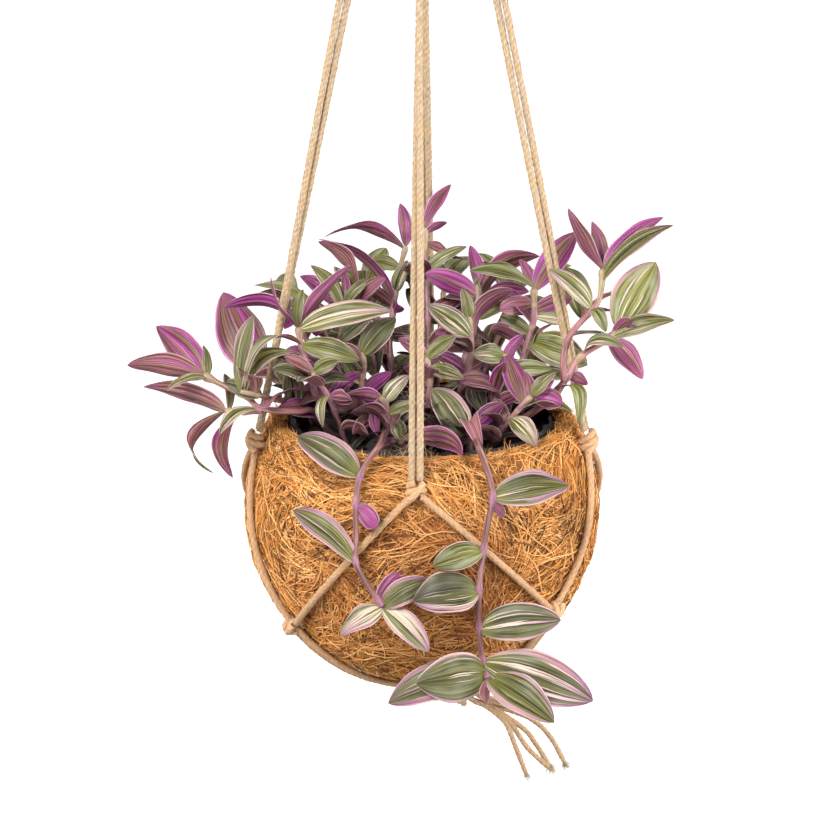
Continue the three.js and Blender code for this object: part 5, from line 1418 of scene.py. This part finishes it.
def between_leaves(line, feet, number):
    """Small leaves at the free joints of a stem. They stand out at an even turn from each other."""
    rng = np.random.default_rng(900 + number)
    found = []
    for t in np.arange(0.26, 0.97, 0.075):
        foot = along(line, t)[0]
        if feet and min(np.linalg.norm(foot - f) for f in feet) < LEAST_GAP:
            continue
        turn = 2.4 * len(found) + rng.uniform(0, 1.6)
        rise = rng.uniform(-0.1, 0.75)
        long = rng.uniform(18, 31)
        flat = math.cos(rise)
        chord = np.array([math.cos(turn) * flat, math.sin(turn) * flat, math.sin(rise)])
        top = unit(np.array([0, 0, 1.0]) - chord * chord[2] + 0.5 * rng.normal(size=3))
        top = unit(top - chord * (top @ chord))
        b = {"foot": foot, "tip": foot + chord * long, "top": top, "width": long * rng.uniform(0.38, 0.5),
             "bow": rng.uniform(0.08, 0.2), "fold": 0.25}
        kind = "gumudvpmsc"[int(rng.integers(0, 10))]
        seed = rng.uniform(0, 1)
        b["dusty"] = kind in "umv"
        if clear_of_all(b):
            found.append((b, kind, seed))
    return found


# %% [markdown]
# Each stem with its leaves is one mesh. Every blade is put where the CAD solid has it, and a stem
# swells where a leaf clasps it.

# %% The leafy stems
lost, added = 0, 0
for number, (name, radius, lines, blades) in enumerate(plants):
    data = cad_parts[name].data
    corners = np.empty(len(data.vertices) * 3, np.float32)
    data.vertices.foreach_get("co", corners)
    corners = corners.reshape(-1, 3).astype(float) * 1000
    heap = Heap()
    feet = []
    letters = LETTERS.get(name, "gmugs")
    for j, b in enumerate(blades):
        b = settled(b, corners)
        if b is None:
            lost += 1
            continue
        shake = [0.16 * (chance(number * 31 + j * 7 + k) - 0.5) for k in range(3)]
        numbers = [a + d for a, d in zip(KINDS[letters[j]], shake, strict=True)]
        # Painted shade: low among the stems the light number falls, which darkens the blade, undersides
        # most.
        numbers[2] -= shade_depth_of((b["foot"] + b["tip"]) / 2) * (0.9 if b["face"] == "u" else 0.35)
        if letters[j] == "b":
            b.update(dusty=True, fold=0.8, tip=b["foot"] * 0.22 + b["tip"] * 0.78)
        blade_surface(heap, b, (chance(number * 31 + j * 7 + 3), *numbers))
        feet.append(b["foot"])
    if not name.startswith(("trail", "branch")):
        for b, kind, seed in between_leaves(lines[0], feet, number):
            # Painted shade: the leaves between are less creamy and darker all over, and darker still low
            # among the stems.
            cream, pink, light = KINDS[kind]
            light = 0.25 * light - 1.1 * shade_depth_of((b["foot"] + b["tip"]) / 2)
            blade_surface(heap, b, (seed, 0.6 * cream, pink, light), rows=15, half_cols=5)
            feet.append(b["foot"])
            added += 1
    for i, line in enumerate(lines):
        path = evenly(line, 1.1)
        size = radius * (0.88 if i else 1)
        knees = []
        for foot in feet:
            far = np.linalg.norm(path - foot, axis=1)
            k = int(np.argmin(far))
            if far[k] < 1.2:
                knees.append(k)
        ages = (0.1, 0.95) if i == 0 else (0.5, 1.0)
        lilac = 0.5 if name.startswith("trail") else 0.25
        ages = (0.0, 0.45) if name.startswith("trail") else ages
        stem_surface(heap, path, size, ages, [k / len(path) for k in knees], lilac)
        for k in knees:
            share = k / len(path)
            young = ages[0] + (ages[1] - ages[0]) * share + 0.15
            sheath(heap, path, k, size * (0.95 - 0.26 * share), young, lilac)
    piece = heap.mesh(name + "_leafy", LEAF_MATERIALS)
    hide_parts(name)
print("leaves without a place:", lost, "leaves between:", added)

# %% [markdown]
# ## Light and ground
# The photograph is a plain studio picture: white all round, soft light from the front and above.

# %% Light and ground
bpy.context.scene.view_settings.view_transform = "Standard"
world = bpy.data.worlds.new("studio")
bpy.context.scene.world = world
world.use_nodes = True
world.node_tree.nodes["Background"].inputs["Color"].default_value = (1, 1, 1, 1)
world.node_tree.nodes["Background"].inputs["Strength"].default_value = 0.33


def lamp(name, place, size, power):
    """A square soft light, slightly warm, that faces the pot. place and size are metres."""
    data = bpy.data.lights.new(name, "AREA")
    data.size = size
    data.energy = power
    data.color = (1.0, 0.985, 0.96)
    obj = bpy.data.objects.new(name, data)
    bpy.context.scene.collection.objects.link(obj)
    p = np.array(place, float)
    z = unit(p - CENTRE / 1000 * 0.85)
    x = unit(np.cross([0, 0, 1.0], z))
    m = np.eye(4)
    m[:3, 0], m[:3, 1], m[:3, 2], m[:3, 3] = x, np.cross(z, x), z, p
    obj.matrix_world = Matrix(m.tolist())


lamp("key", (-0.6, -1.2, 0.6), 0.55, 29)
lamp("fill", (1.25, -1.1, 0.0), 0.8, 17)
lamp("left_side", (-1.3, -0.2, -0.2), 0.7, 12)
lamp("right_side", (1.35, -0.1, -0.2), 0.7, 17)
lamp("low", (0.15, -0.9, -1.5), 0.8, 6)

FLOOR_HALF, FLOOR_Z = 8000, -1150.0
ground = Heap()
x = np.linspace(-FLOOR_HALF, FLOOR_HALF, 7)
ground.grid(np.stack(np.meshgrid(x, x, [FLOOR_Z], indexing="ij"), -1)[:, :, 0], x, x)
ground_mat, add = finish("studio_paper")
add("output", add("surface", Base_Color=(0.9, 0.9, 0.9, 1), Roughness=0.9, Emission_Color=(1, 1, 1, 1),
                  Emission_Strength=0.85))
floor = ground.mesh("ground", [ground_mat])

# Behind everything stands a white dome. Floor and dome are for the eye only: they light nothing.
dome = Heap()
a, e = np.linspace(0, 2 * np.pi, 49)[None, :], np.linspace(-0.1, np.pi / 2, 13)[:, None]
bowed = np.stack([np.cos(e) * np.cos(a), np.cos(e) * np.sin(a), np.sin(e) + 0 * a], -1)
dome.grid(FLOOR_HALF * bowed + [0, 0, FLOOR_Z], np.linspace(0, 1, 13), np.linspace(0, 1, 49))
sky = dome.mesh("backdrop", [ground_mat])
for piece in (floor, sky):
    piece.visible_diffuse = piece.visible_glossy = piece.visible_transmission = piece.visible_shadow = False
